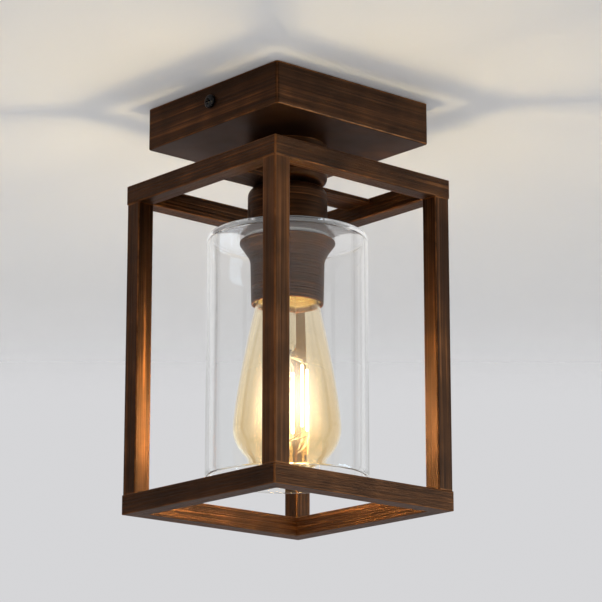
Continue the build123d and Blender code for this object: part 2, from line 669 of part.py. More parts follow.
with BuildPart() as lampholder_terminal_screws:
    head_start = HOLDER_TERMINAL_WIDTH / 2
    head_middle = holder_cap_bottom + HOLDER_TERMINAL_HEIGHT / 2
    with BuildSketch(Plane.YZ.offset(head_start)):
        with Locations((0, head_middle)):
            with GridLocations(2 * HOLDER_TERMINAL_OFFSET, 0, 2, 1):
                Circle(HOLDER_SCREW_HEAD_DIAMETER / 2)
    extrude(amount=HOLDER_SCREW_HEAD_HEIGHT)
    with BuildSketch(Plane.YZ.offset(head_start + HOLDER_SCREW_HEAD_HEIGHT)):
        with Locations((0, head_middle)):
            with GridLocations(2 * HOLDER_TERMINAL_OFFSET, 0, 2, 1):
                Rectangle(HOLDER_SCREW_HEAD_DIAMETER, HOLDER_SCREW_SLOT)
    extrude(amount=-HOLDER_SCREW_SLOT, mode=Mode.SUBTRACT)
save(lampholder_terminal_screws, "lampholder_terminal_screws")


def bulb_outline(inset):
    """Half outline of the bulb's glass from its neck to the axis, moved in by a distance.

    A flat base arc on the axis and a belly arc beside it make the bulge, the flank runs from the
    shoulder to the belly, and an arc joins the flank to the straight neck inside the cap.
    """
    lean = radians(BULB_FLANK_ANGLE)
    outward = Vector(cos(lean), sin(lean))
    downward = Vector(sin(lean), -cos(lean))
    foot_lean = radians(BULB_FOOT_ANGLE)
    foot_downward = Vector(sin(foot_lean), -cos(foot_lean))
    belly_offset = BULB_DIAMETER / 2 - BULB_BELLY_RADIUS
    belly_middle = Vector(belly_offset, bulb_bottom + BULB_BELLY_HEIGHT)
    belly_reach = belly_offset**2 + BULB_BELLY_HEIGHT**2 - BULB_BELLY_RADIUS**2
    base_radius = belly_reach / (2 * (BULB_BELLY_HEIGHT - BULB_BELLY_RADIUS))
    base_middle = Vector(0, bulb_bottom + base_radius)
    join = (belly_middle - base_middle).normalized()
    flank_foot = belly_middle + Vector(cos(foot_lean), sin(foot_lean)) * (BULB_BELLY_RADIUS - inset)
    belly_foot = base_middle + join * (base_radius - inset)
    neck_foot = bulb_rim - SEAT_CLEARANCE
    flank_top = Vector(BULB_SHOULDER_DIAMETER / 2, neck_foot - BULB_SHOULDER_HEIGHT) - outward * inset
    neck = BULB_NECK_DIAMETER / 2 - inset
    Line((neck, bulb_rim + BULB_NECK_INSERT), (neck, neck_foot - inset))
    TangentArc(flank_top, (neck, neck_foot - inset), tangent=-downward)
    Spline(flank_top, flank_foot, tangents=(downward, foot_downward))
    TangentArc(flank_foot, belly_foot, tangent=foot_downward)
    TangentArc(belly_foot, (0, bulb_bottom + inset), tangent=(join.Y, -join.X))


# Bulb glass
with BuildPart() as bulb_envelope:
    with BuildSketch(Plane.XZ):
        with BuildLine():
            bulb_outline(0)
            bulb_outline(BULB_WALL)
            neck_top = bulb_rim + BULB_NECK_INSERT
            Line((BULB_NECK_DIAMETER / 2, neck_top), (BULB_NECK_DIAMETER / 2 - BULB_WALL, neck_top))
            Line((0, bulb_bottom), (0, bulb_bottom + BULB_WALL))
        make_face()
    revolve(axis=Axis.Z)
save(bulb_envelope, "bulb_envelope")

# Bulb cap: thin shell, closed in towards the insulator
insulator_bottom = bulb_rim + BULB_CAP_SHELL_LENGTH
insulator_top = bulb_tip - BULB_TIP_HEIGHT
cap_radius = BULB_CAP_DIAMETER / 2
with BuildPart() as bulb_cap:
    washer(cap_radius - BULB_CAP_SHEET, cap_radius, bulb_rim, BULB_CAP_SHELL_LENGTH)
save(bulb_cap, "bulb_cap")

# Insulator: glass cone between the cap and the tip
with BuildPart() as bulb_insulator:
    with BuildSketch(Plane.XY.offset(insulator_bottom)):
        Circle(cap_radius)
    with BuildSketch(Plane.XY.offset(insulator_top)):
        Circle(BULB_TIP_DIAMETER / 2)
    loft()
save(bulb_insulator, "bulb_insulator")

with BuildPart() as bulb_tip_contact:
    with BuildSketch(Plane.XY.offset(insulator_top)):
        Circle(BULB_TIP_DIAMETER / 2)
    extrude(amount=BULB_TIP_HEIGHT)
save(bulb_tip_contact, "bulb_tip")

# Glass mount: flare in the neck, tube and rod
stem_flare_top = bulb_rim + BULB_NECK_INSERT
mount_tube_top = stem_flare_top - BULB_STEM_FLARE_HEIGHT
mount_tube_bottom = stem_flare_top - BULB_STEM_LENGTH
mount_rod_bottom = mount_tube_bottom - BULB_ROD_LENGTH
with BuildPart() as bulb_stem:
    flare = BULB_NECK_DIAMETER / 2 - BULB_WALL - SEAT_CLEARANCE
    tube = BULB_STEM_DIAMETER / 2
    with BuildSketch(Plane.XZ):
        with BuildLine():
            Line((0, stem_flare_top), (flare, stem_flare_top))
            Spline((flare, stem_flare_top), (tube, mount_tube_top), tangents=((0, -1), (0, -1)))
            Polyline(
                (tube, mount_tube_top),
                (tube, mount_tube_bottom + tube),
                (BULB_ROD_DIAMETER / 2, mount_tube_bottom),
                (BULB_ROD_DIAMETER / 2, mount_rod_bottom),
                (0, mount_rod_bottom),
                (0, stem_flare_top),
            )
        make_face()
    revolve(axis=Axis.Z)
save(bulb_stem, "bulb_stem")

# Filaments on a circle round the axis
filament_top = bulb_bottom + FILAMENT_CENTRE_RISE + FILAMENT_LENGTH / 2
filament_bottom = filament_top - FILAMENT_LENGTH
with BuildPart() as bulb_filaments:
    with BuildSketch(Plane.XY.offset(filament_bottom)):
        with PolarLocations(FILAMENT_CIRCLE / 2, FILAMENT_COUNT, start_angle=FILAMENT_START_ANGLE):
            Circle(FILAMENT_DIAMETER / 2)
    extrude(amount=FILAMENT_LENGTH)
save(bulb_filaments, "bulb_filaments")

# Wires that hold the filaments: tails welded to spokes from the rod above and to a star below
with BuildPart() as bulb_wires:
    for place in PolarLocations(FILAMENT_CIRCLE / 2, FILAMENT_COUNT, start_angle=FILAMENT_START_ANGLE):
        filament = Vector(place.position)
        tail = Vector(0, 0, WIRE_TAIL)
        rod_side = filament.normalized() * (BULB_ROD_DIAMETER / 2 + WIRE_DIAMETER / 2)
        upper_start = rod_side + Vector(0, 0, mount_rod_bottom + WIRE_RISE)
        upper_end = filament + Vector(0, 0, filament_top)
        lower_start = filament + Vector(0, 0, filament_bottom)
        lower_end = Vector(0, 0, filament_bottom - WIRE_DROP)
        for start, knee, end in (
            (upper_start, upper_end + tail, upper_end),
            (lower_start, lower_start - tail, lower_end),
        ):
            rod(start, knee, WIRE_DIAMETER)
            rod(knee, end, WIRE_DIAMETER)
            with Locations(knee):
                Sphere(WELD_DIAMETER / 2)
save(bulb_wires, "bulb_wires")

# Live and neutral leads: terminal block, down through the stem, lampholder terminals
for side, name in ((-1, "live_lead"), (1, "neutral_lead")):
    in_stem = side * LEAD_SPACING / 2
    lead_points = [
        (block_left + BLOCK_LENGTH / 4, side * POLE_PITCH, pole_level),
        (BRACKET_WIDTH / 2 - BLOCK_GAP, side * POLE_PITCH, pole_level),
        (0, in_stem, pole_level - LEAD_DIAMETER),
        (0, in_stem, stem_bottom - LEAD_BEND),
        (0, side * HOLDER_TERMINAL_OFFSET, terminal_top + LEAD_BEND),
        (0, side * HOLDER_TERMINAL_OFFSET, terminal_top),
    ]
    with BuildPart() as holder_lead:
        bent_wire(lead_points, LEAD_DIAMETER, LEAD_BEND)
    save(holder_lead, name)

# Earth lead: from the tag's tail up to the middle pole
tail_level = upper_washer_bottom + LEAD_DIAMETER / 2
rise_place = WASHER_DIAMETER / 2 + LEAD_BEND
earth_points = [
    (TAG_TAIL_LENGTH, 0, tail_level),
    (rise_place, 0, tail_level),
    (rise_place, 0, pole_level),
    (block_left + BLOCK_LENGTH / 4, 0, pole_level),
]
with BuildPart() as earth_lead:
    bent_wire(earth_points, LEAD_DIAMETER, LEAD_BEND)
save(earth_lead, "earth_lead")
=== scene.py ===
import math

import bpy
import numpy as np
from bpy.props import FloatProperty, FloatVectorProperty, IntProperty, PointerProperty
from mathutils import Matrix, Vector


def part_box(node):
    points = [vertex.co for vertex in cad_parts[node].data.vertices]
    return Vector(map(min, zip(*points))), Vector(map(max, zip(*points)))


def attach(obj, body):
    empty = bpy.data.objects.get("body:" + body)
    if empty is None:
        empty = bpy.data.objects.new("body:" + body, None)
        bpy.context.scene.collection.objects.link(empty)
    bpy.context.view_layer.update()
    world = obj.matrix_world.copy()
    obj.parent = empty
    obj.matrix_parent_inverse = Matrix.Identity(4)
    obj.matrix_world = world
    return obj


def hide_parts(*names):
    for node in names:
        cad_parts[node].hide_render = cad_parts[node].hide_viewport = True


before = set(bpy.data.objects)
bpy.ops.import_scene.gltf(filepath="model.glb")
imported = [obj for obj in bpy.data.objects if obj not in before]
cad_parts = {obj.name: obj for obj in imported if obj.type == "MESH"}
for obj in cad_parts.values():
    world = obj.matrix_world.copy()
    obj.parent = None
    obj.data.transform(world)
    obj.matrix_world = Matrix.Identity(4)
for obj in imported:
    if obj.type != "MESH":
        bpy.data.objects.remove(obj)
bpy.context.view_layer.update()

bl_info = {
    "name": "Lantern ceiling light",
    "version": (1, 0, 0),
    "blender": (4, 5, 0),
    "location": "View3D > Sidebar > Lantern",
    "description": "Finishes, blown glass, rolled threads and studio for a square lantern ceiling light",
    "category": "Object",
}


def length(name, value, text):
    """A length in metres that a user would change."""
    return FloatProperty(name=name, description=text, default=value, unit="LENGTH", precision=5)


def angle(name, degrees, text):
    """An angle that a user would change."""
    return FloatProperty(name=name, description=text, default=math.radians(degrees), subtype="ANGLE")


def amount(name, value, text):
    """A plain number that a user would change."""
    return FloatProperty(name=name, description=text, default=value, precision=4)


def colour(name, value, text):
    """A linear colour that a user would change."""
    return FloatVectorProperty(
        name=name, description=text, default=value, subtype="COLOR", size=3, min=0.0, max=1.0)


class LanternView(bpy.types.PropertyGroup):
    """Where the photographer stood."""

    azimuth: angle("Azimuth", 49.111, "Turn of the camera about the vertical axis")
    distance: length("Distance", 1.533728, "Level distance from the axis to the camera")
    height: length("Height", -0.521759, "Camera height from the ceiling")
    yaw: angle("Yaw", -0.307, "Aim to the side of the axis")
    pitch: angle("Pitch", 14.567, "Upward tilt of the camera")
    lens: FloatProperty(name="Lens", description="Focal length", default=156.834, unit="CAMERA")


class LanternStudio(bpy.types.PropertyGroup):
    """Ceiling, floor, background and lamps."""

    ceiling: colour("Ceiling", (0.75, 0.745, 0.745), "Paint of the ceiling")
    floor: colour("Floor", (0.45, 0.445, 0.445), "Paint of the floor")
    backdrop: colour("Backdrop", (0.67, 0.67, 0.685), "Pale wall seen below the ceiling line")
    ceiling_reach: length("Ceiling reach", 4.0, "From the axis to the sides of the ceiling")
    ceiling_gap: length("Ceiling gap", 0.0004, "Between the canopy and the ceiling")
    ceiling_lap: length("Ceiling lap", 0.003, "How far the ceiling reaches over the canopy's edge")
    ceiling_depth: length("Ceiling depth", 0.63, "From the axis to the line where ceiling meets wall")
    ceiling_fade: length("Ceiling fade", 0.22, "Half width of the soft line where ceiling meets wall")
    floor_reach: length("Floor reach", 12.0, "From the axis to the sides of the floor")
    floor_drop: length("Floor drop", 1.7, "From the ceiling to the floor")
    patches: amount("Patches", 0.96, "Tone of the darker patches in the paint")
    lamp_aim: length("Lamp aim", -0.15, "Level that the key and fill lamps point at")
    room_light: amount("Room light", 1.5, "Strength of the even light in the room")
    gloss_light: amount("Gloss light", 0.35, "Strength of the room in reflections")
    key_power: amount("Key power", 19.0, "Power of the large soft lamp on the right, in watts")
    fill_share: amount("Fill share", 0.2, "Power of the fill lamp on the left as a share of the key")
    wash_power: amount("Wash power", 15.0, "Power of the wide lamp below that washes the ceiling, in watts")


class LanternBronze(bpy.types.PropertyGroup):
    """Brushed dark bronze of the frame, canopy, cups and ring."""

    dark: colour("Dark coat", (0.026, 0.0108, 0.0040), "Darkest tone of the coat")
    light: colour("Light coat", (0.076, 0.0285, 0.0095), "Lightest tone of the coat")
    copper: colour("Copper", (0.37, 0.135, 0.040), "Copper that the brushing bares")
    raw_dark: colour("Raw metal dark", (0.88, 0.68, 0.31), "Raw metal inside the ring")
    raw_light: colour("Raw metal light", (1.0, 0.90, 0.52), "Raw metal inside the ring where it is clean")
    bare: amount("Bare copper", 0.5, "How much copper shows where the coat is rubbed")
    across: amount("Lines across", 900.0, "Brush lines per metre across the brushing")
    along: amount("Lines along", 8.0, "Brush lines per metre along the brushing")
    wear: length("Worn edge", 0.0009, "Width of the copper line along an edge")
    bump: length("Brush depth", 0.0003, "Depth of the brush lines")
    rail_bump: length("Rail brush depth", 0.0012, "Depth of the brush lines along the level tubes")
    # Painted glare: the front post's coat is made paler for the bulb's glare on it
    front: amount("Front post", 1.9, "How much paler the front post is brushed than the rest")
    # Painted light: the bottom rails' coat is made paler for the light that falls on them
    bottom: amount("Bottom rails", 1.6, "How much paler the bottom rails are brushed than the rest")
    ring: amount("Ring", 1.25, "How much paler the ring is brushed than the rest")
    lacquer: amount("Lacquer", 0.05, "Weight of the clear lacquer over the brushing")


class LanternGlass(bpy.types.PropertyGroup):
    """Blown cylinder with a holed top."""

    wall: length("Wall", 0.0025, "Thickness of the side")
    top: length("Top", 0.003, "Thickness of the top plate")
    hole: length("Hole", 0.042, "Diameter of the hole in the top plate")
    shoulder: length("Shoulder", 0.0025, "Outer radius where the top meets the side")
    corner: length("Inner corner", 0.0015, "Inner radius where the top meets the side")
    rim: length("Rim", 0.001, "Radius of the fire polished rim")
    wave: length("Wave", 0.00004, "Unevenness left by the blowing")
    tint: colour("Tint", (0.985, 0.992, 0.988), "Colour of the clear glass")
    # Painted reflection: emission at the outline of the clear glass for the bright room
    painted_edge_sheen: amount("Sheen", 0.15, "Strength of the bright room at the outline of the glass")


class LanternBulb(bpy.types.PropertyGroup):
    """Pear shaped bulb with six lit sticks."""

    wall: length("Wall", 0.0009, "Thickness of the bulb glass")
    flank: angle("Flank", 11.0, "Lean of the flank at the shoulder")
    foot: angle("Foot", 4.0, "Lean of the flank where it meets the belly")
    belly: length("Belly", 0.022, "Radius of the belly in outline")
    belly_height: length("Belly height", 0.027, "From the bottom to the widest level")
    shoulder: length("Shoulder", 0.0364, "Diameter where the flank starts")
    shoulder_height: length("Shoulder height", 0.0078, "From the cap to the start of the flank")
    neck: length("Neck", 0.0246, "Diameter of the neck inside the cap")
    neck_insert: length("Neck insert", 0.007, "Length of the neck inside the cap")
    neck_pull: length("Neck pull", 0.009, "How strongly the outline leaves the neck straight down")
    flank_pull: length("Flank pull", 0.012, "How strongly the outline runs into the flank")
    amber_top: colour("Amber top", (0.99, 0.95, 0.83), "Tint of the glass near the cap")
    amber_level: length("Amber level", 0.01, "From the bottom to where the amber starts to pale")
    amber_low: colour("Amber low", (0.97, 0.85, 0.62), "Tint of the glass near the crown")
    sticks: IntProperty(name="Sticks", description="Number of lit sticks", default=6, min=1)
    stick_width: length("Stick width", 0.0018, "Diameter of a lit stick")
    stick_circle: length("Stick circle", 0.0248, "Diameter of the circle of sticks")
    stick_start: angle("Stick start", 4.0, "Turn of the first stick")
    glow: amount("Glow", 225.0, "Strength of the lit sticks")
    # Painted light: glare, haze and edge highlight given to the bulb glass as emission, though the glass is
    # no lamp
    painted_glare: colour("Halo", (0.40, 0.335, 0.275), "Glow of the glass in front of the lit sticks")
    painted_haze: colour("Haze", (0.030, 0.018, 0.006), "Faint glow of all the glass")
    outline: colour("Outline", (0.16, 0.125, 0.075), "Glow of the glass where it is seen edge on")
    hot: colour("Hot", (1.0, 0.90, 0.62), "Colour of the lit sticks in the middle")
    ends: colour("Ends", (1.0, 0.75, 0.38), "Colour of the lit sticks at their ends")


class LanternThreads(bpy.types.PropertyGroup):
    """Threads of the lampholder, bulb cap and stem."""

    cap_pitch: length("Cap pitch", 0.003629, "Rise of the rolled thread in one turn")
    cap_depth: length("Cap depth", 0.0009, "Depth of the rolled thread")
    cap_sheet: length("Cap sheet", 0.0005, "Thickness of the rolled sheet")
    cap_run: length("Cap run-out", 0.0018, "Height over which the rolled thread fades")
    cap_foot: length("Cap foot", 0.003, "Plain height at the bottom of the cap")
    cap_head: length("Cap head", 0.001, "Plain height at the top of the cap")
    shell_foot: length("Shell foot", 0.0008, "Plain height at the mouth of the shell")
    shell_head: length("Shell head", 0.002, "Plain height under the flange of the shell")
    shell_crest: length("Shell crest", 0.0269, "Inner diameter of the shell that the cap turns in")
    skirt_pitch: length("Skirt pitch", 0.0025, "Rise of the moulded thread in one turn")
    skirt_depth: length("Skirt depth", 0.0008, "Depth of the moulded thread")
    skirt_wall: length("Skirt wall", 0.0021, "Thickness of the skirt")
    skirt_ledge: length("Skirt ledge", 0.002, "Width and height of the ledge under the ceramic")
    skirt_run: length("Skirt run-out", 0.0012, "Height over which the moulded thread fades")
    skirt_foot: length("Skirt foot", 0.0006, "Plain height at the bottom of the skirt")
    skirt_head: length("Skirt head", 0.003, "Plain height at the top of the skirt")
    fine_run: length("Fine run-out", 0.0006, "Height over which the thread of the ring or stem fades")
    stem_pitch: length("Stem pitch", 0.001, "Rise of the stem thread in one turn")
    stem_depth: length("Stem depth", 0.0005, "Depth of the stem thread")
    stem_bore: length("Stem bore", 0.0072, "Bore for the leads")


class LanternRing(bpy.types.PropertyGroup):
    """Spun trumpet ring that holds the glass."""

    edge: length("Flange edge", 0.0014, "Thickness at the flange's edge")
    flare: angle("Flare", 52.0, "Slope of the trumpet at the flange, below level")
    waist: length("Waist", 0.0446, "Diameter where the trumpet meets the sleeve")
    drop: length("Waist drop", 0.014, "From the top to the waist")
    mouth: length("Mouth", 0.0434, "Outer diameter at the mouth")
    wall: length("Wall", 0.0012, "Thickness of the sleeve")
    bore: length("Bore", 0.0391, "Diameter of the bore that the skirt screws into")
    thread: length("Thread", 0.007, "Length of the bore")
    round: length("Rounding", 0.0005, "Rounding of the spun edges")
    lip: length("Lip", 0.003, "Height of the coat inside the mouth")


# Surfaces

COLUMNS = 128
GLASS_COLUMNS = 160
THREAD_COLUMNS = 96
STEM_COLUMNS = 48
STICK_COLUMNS = 20
THREAD_STEP = 0.0003
STEM_STEP = 0.000125
SAME_FACE = 1e-6


def subdivided(points, spacing):
    """Polyline with each straight run cut into equal steps no longer than the spacing."""
    runs = np.diff(points, axis=0)
    steps = np.maximum(1, np.ceil(np.linalg.norm(runs, axis=1) / spacing)).astype(int)
    first = np.repeat(np.cumsum(steps) - steps, steps)
    share = (np.arange(steps.sum()) - first) / np.repeat(steps, steps)
    inner = np.repeat(points[:-1], steps, axis=0) + np.repeat(runs, steps, axis=0) * share[:, None]
    return np.vstack([inner, points[-1:]])


def arc(centre, radius, start, end, count=9):
    """Points (c + r cos t, c + r sin t) from one angle in degrees to another."""
    turn = np.radians(np.linspace(start, end, count))
    return np.column_stack([centre[0] + radius * np.cos(turn), centre[1] + radius * np.sin(turn)])


def hermite(start, start_slope, end, end_slope, count):
    """Cubic from one point to another with a given slope at each end."""
    t = np.linspace(0.0, 1.0, count)[:, None]
    given = (start, start_slope, end, end_slope)
    start, start_slope, end, end_slope = (np.asarray(part, float) for part in given)
    return ((2 * t**3 - 3 * t**2 + 1) * start + (t**3 - 2 * t**2 + t) * start_slope
            + (3 * t**2 - 2 * t**3) * end + (t**3 - t**2) * end_slope)


def joined(*runs):
    """Runs of points in one line, without points that repeat the one before."""
    line = np.vstack(runs)
    keep = np.linalg.norm(np.diff(line, axis=0), axis=1) > 1e-7
    return line[np.concatenate([[True], keep])]


def lathe(profile, columns, closed, shape=None):
    """Surface point(u, v) = (r cos v, r sin v, z), with r and z read from the profile at u.

    shape(v, r, z) may move r, which gives threads and uneven walls. A closed profile makes a ring, and
    an open one starts and ends on the axis, where its first and last rows are single points.
    """
    turn = np.linspace(0.0, 2 * np.pi, columns, endpoint=False)[None, :]
    radius, height = profile[:, :1], profile[:, 1:]
    if shape is not None:
        radius = shape(turn, radius, height)
    radius, height = (np.broadcast_to(part, (len(profile), columns)) for part in (radius, height))
    grid = np.stack([radius * np.cos(turn), radius * np.sin(turn), height], axis=-1)
    if closed:
        index = np.arange(grid.shape[0] * columns).reshape(-1, columns)
        under, points, fans = np.roll(index, -1, axis=0), grid.reshape(-1, 3), []
    else:
        ring = np.arange((len(profile) - 2) * columns).reshape(-1, columns) + 1
        points = np.vstack([grid[0, :1], grid[1:-1].reshape(-1, 3), grid[-1, :1]])
        index, under = ring[:-1], ring[1:]
        pole = np.zeros(columns, int)
        fans = [np.stack([pole, ring[0], np.roll(ring[0], -1)], axis=-1),
                np.stack([pole + len(points) - 1, np.roll(ring[-1], -1), ring[-1]], axis=-1)]
    quads = np.stack([index, under, np.roll(under, -1, axis=1), np.roll(index, -1, axis=1)], axis=-1)
    return points, [quads.reshape(-1, 4), *fans]


def thread(turn, height, pitch, low, high, run):
    """Fade towards both ends, and the wave (1 - cos(2 pi z / pitch - v)) / 2 from crest to valley."""
    fade = np.clip(np.minimum(height - low, high - height) / run, 0.0, 1.0)
    return fade, 0.5 - 0.5 * np.cos(2 * np.pi * height / pitch - turn)


def turned(sides, shape, spacing=THREAD_STEP, columns=THREAD_COLUMNS):
    """Ring with straight sides, cut finely enough for the thread that shape puts on it."""
    return lathe(subdivided(sides, spacing)[:-1], columns, True, shape)


def repeated(points, faces, turns):
    """Copies of a surface, each turned about the vertical axis by one of the angles."""
    cos, sin = np.cos(turns)[:, None], np.sin(turns)[:, None]
    copies = np.stack([points[:, 0] * cos - points[:, 1] * sin, points[:, 0] * sin + points[:, 1] * cos,
                       np.broadcast_to(points[:, 2], (len(turns), len(points)))], axis=-1)
    step = (np.arange(len(turns)) * len(points))[:, None, None]
    return copies.reshape(-1, 3), [(part[None] + step).reshape(-1, part.shape[1]) for part in faces]


def outward(points, faces):
    """Faces turned round if the volume they enclose, summed over their corners, is negative."""
    volume = sum(
        np.einsum("ij,ij->", points[part[:, 0]], np.cross(points[part[:, k]], points[part[:, k + 1]]))
        for part in faces for k in range(1, part.shape[1] - 1))
    return faces if volume > 0 else [part[:, ::-1] for part in faces]


def dress(name, surface, body, nodes, material, crease=32.0, marks=None):
    """Puts a surface into the scene as one smooth piece that rides on a body in place of its nodes.

    marks gives a value at each point for the material to read, by name.
    """
    points, faces = surface
    mesh = bpy.data.meshes.new(name)
    mesh.from_pydata(points.tolist(), [], sum((part.tolist() for part in outward(points, faces)), []))
    mesh.shade_smooth()
    mesh.set_sharp_from_angle(angle=math.radians(crease))
    if mesh.validate():
        raise RuntimeError(f"{name} has broken faces")
    for key, values in (marks or {}).items():
        mesh.attributes.new(key, "FLOAT", "POINT").data.foreach_set("value", values.astype(np.float32))
    mesh.materials.append(material)
    made = bpy.data.objects.new(name, mesh)
    bpy.context.scene.collection.objects.link(made)
    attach(made, body)
    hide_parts(*nodes)
    return made


def finish_nodes(material, *nodes):
    """Gives construction nodes one material."""
    for node in nodes:
        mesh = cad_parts[node].data
        mesh.materials.clear()
        mesh.materials.append(material)


def span(node):
    """Middle and half size of a node's box."""
    low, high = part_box(node)
    return (low + high) / 2, (high - low) / 2


# Shader parts

VECTOR, FLOAT = "NodeSocketVector", "NodeSocketFloat"


def put(tree, kind, inputs=None, **settings):
    """Adds a node, sets its properties, and fills or links its inputs."""
    made = tree.nodes.new(kind)
    for key, value in settings.items():
        setattr(made, key, value)
    for key, value in (inputs or {}).items():
        if isinstance(value, bpy.types.NodeSocket):
            tree.links.new(value, made.inputs[key])
        else:
            made.inputs[key].default_value = value
    return made


def maths(tree, operation, first, second=0.0):
    """One sum of two values."""
    return put(tree, "ShaderNodeMath", {0: first, 1: second}, operation=operation).outputs[0]


def vectors(tree, operation, first, second=(0.0, 0.0, 0.0)):
    """One sum of two vectors."""
    return put(tree, "ShaderNodeVectorMath", {0: first, 1: second}, operation=operation).outputs[0]


def noise(tree, where, scale, detail=2.0, rough=0.5):
    """Noise from 0 to 1."""
    return put(tree, "ShaderNodeTexNoise", {
        "Vector": where, "Scale": scale, "Detail": detail, "Roughness": rough}).outputs[0]


def step(tree, value, low, high, first=0.0, last=1.0):
    """Smooth step of a value between two levels."""
    return put(tree, "ShaderNodeMapRange", {
        "Value": value, "From Min": low, "From Max": high, "To Min": first, "To Max": last},
        interpolation_type="SMOOTHSTEP").outputs[0]


def between(tree, factor, first, last):
    """Colour between two colours."""
    first, last = (value if isinstance(value, bpy.types.NodeSocket) else (*value, 1.0)
                   for value in (first, last))
    return put(tree, "ShaderNodeMix", {0: factor, 6: first, 7: last}, data_type="RGBA").outputs[2]


def shared_group(name, inputs, outputs, fill):
    """A shader group that is made once. fill(tree, given) returns the value of each output in turn."""
    if name not in bpy.data.node_groups:
        tree = bpy.data.node_groups.new(name, "ShaderNodeTree")
        for label, kind in inputs.items():
            tree.interface.new_socket(label, in_out="INPUT", socket_type=kind)
        for label in outputs:
            tree.interface.new_socket(label, in_out="OUTPUT", socket_type=FLOAT)
        values = fill(tree, put(tree, "NodeGroupInput").outputs)
        put(tree, "NodeGroupOutput", dict(zip(outputs, values)))
    return bpy.data.node_groups[name]


def brush_group():
    """Brush lines: noise drawn out along the brushing, with patches where the coat is thinner."""
    def fill(tree, given):
        drawn = vectors(tree, "MULTIPLY", given["Vector"], given["Lines"])
        fine = noise(tree, drawn, 1.0, 4.0, 0.62)
        broad = noise(tree, drawn, 0.5, 2.0, 0.5)
        patch = noise(tree, given["Vector"], 48.0, 2.0, 0.5)
        lines = maths(tree, "ADD", maths(tree, "MULTIPLY", fine, 0.65),
                      maths(tree, "MULTIPLY", broad, 0.35))
        uneven = maths(tree, "MULTIPLY", maths(tree, "SUBTRACT", patch, 0.5), 0.25)
        copper = step(tree, maths(tree, "ADD", lines, uneven), 0.56, 0.78)
        tone = step(tree, maths(tree, "ADD", maths(tree, "MULTIPLY", lines, 0.70),
                                maths(tree, "MULTIPLY", patch, 0.30)), 0.36, 0.66)
        return copper, tone, fine

    return shared_group(
        "brush_lines", {"Vector": VECTOR, "Lines": VECTOR}, ("Copper", "Tone", "Height"), fill)


def edge_group():
    """Worn edges of a box: the second smallest distance to its three pairs of faces, broken up by noise."""
    def fill(tree, given):
        off = vectors(tree, "ABSOLUTE", vectors(tree, "SUBTRACT", given["Vector"], given["Middle"]))
        inset = vectors(tree, "SUBTRACT", given["Half"], off)
        x, y, z = put(tree, "ShaderNodeSeparateXYZ", {0: inset}).outputs
        nearest = maths(tree, "MAXIMUM", maths(tree, "MINIMUM", x, y),
                        maths(tree, "MINIMUM", maths(tree, "MAXIMUM", x, y), z))
        rough = maths(tree, "MULTIPLY", noise(tree, given["Vector"], 160.0, 3.0), 1.7)
        ragged = maths(tree, "MULTIPLY", given["Width"], maths(tree, "ADD", 0.15, rough))
        worn = step(tree, maths(tree, "DIVIDE", nearest, ragged), 1.0, 0.25)
        scuffed = step(tree, noise(tree, given["Vector"], 55.0, 3.0), 0.36, 0.60, 0.25, 1.0)
        return [maths(tree, "MULTIPLY", worn, scuffed)]

    return shared_group(
        "worn_edges", {"Vector": VECTOR, "Middle": VECTOR, "Half": VECTOR, "Width": FLOAT}, ["Worn"], fill)


def rim_group():
    """Worn rims of a round piece: distance up or down from two levels, broken up by noise."""
    def fill(tree, given):
        z = put(tree, "ShaderNodeSeparateXYZ", {0: given["Vector"]}).outputs[2]
        upper, lower = (maths(tree, "ABSOLUTE", maths(tree, "SUBTRACT", z, given[label]))
                        for label in ("Upper", "Lower"))
        scuffed = step(tree, noise(tree, given["Vector"], 70.0, 3.0), 0.34, 0.62, 0.2, 1.0)
        nearest = maths(tree, "MINIMUM", upper, lower)
        worn = step(tree, maths(tree, "DIVIDE", nearest, given["Width"]), 1.0, 0.2)
        return [maths(tree, "MULTIPLY", worn, scuffed)]

    return shared_group(
        "worn_rims", {"Vector": VECTOR, "Upper": FLOAT, "Lower": FLOAT, "Width": FLOAT}, ["Worn"], fill)


def mottle_group():
    """Fine mottle of a plated, moulded or fired surface: two sizes of noise and a slow drift."""
    def fill(tree, given):
        drawn = vectors(tree, "MULTIPLY", given["Vector"], given["Grains"])
        grain = noise(tree, drawn, 1.0, 3.0, 0.6)
        drift = noise(tree, drawn, 0.12, 3.0, 0.55)
        both = maths(tree, "ADD", maths(tree, "MULTIPLY", grain, 0.4), maths(tree, "MULTIPLY", drift, 0.6))
        return step(tree, both, 0.34, 0.66), grain

    return shared_group("fine_mottle", {"Vector": VECTOR, "Grains": VECTOR}, ("Drift", "Grain"), fill)


def use(tree, group, inputs):
    """Places a shared group in a material and returns its outputs."""
    return put(tree, "ShaderNodeGroup", inputs, node_tree=group).outputs


def blank(name):
    """A material with its shader, its output, and the object coordinates it reads."""
    material = bpy.data.materials.new(name)
    material.use_nodes = True
    tree = material.node_tree
    tree.nodes.clear()
    shader = put(tree, "ShaderNodeBsdfPrincipled")
    output = put(tree, "ShaderNodeOutputMaterial", {"Surface": shader.outputs[0]})
    where = put(tree, "ShaderNodeTexCoord").outputs["Object"]
    return material, tree, shader, output, where


def bump(tree, shader, height, depth, strength=1.0):
    """Fine relief from a height between 0 and 1."""
    made = put(tree, "ShaderNodeBump", {"Height": height, "Distance": depth, "Strength": strength})
    tree.links.new(made.outputs[0], shader.inputs["Normal"])


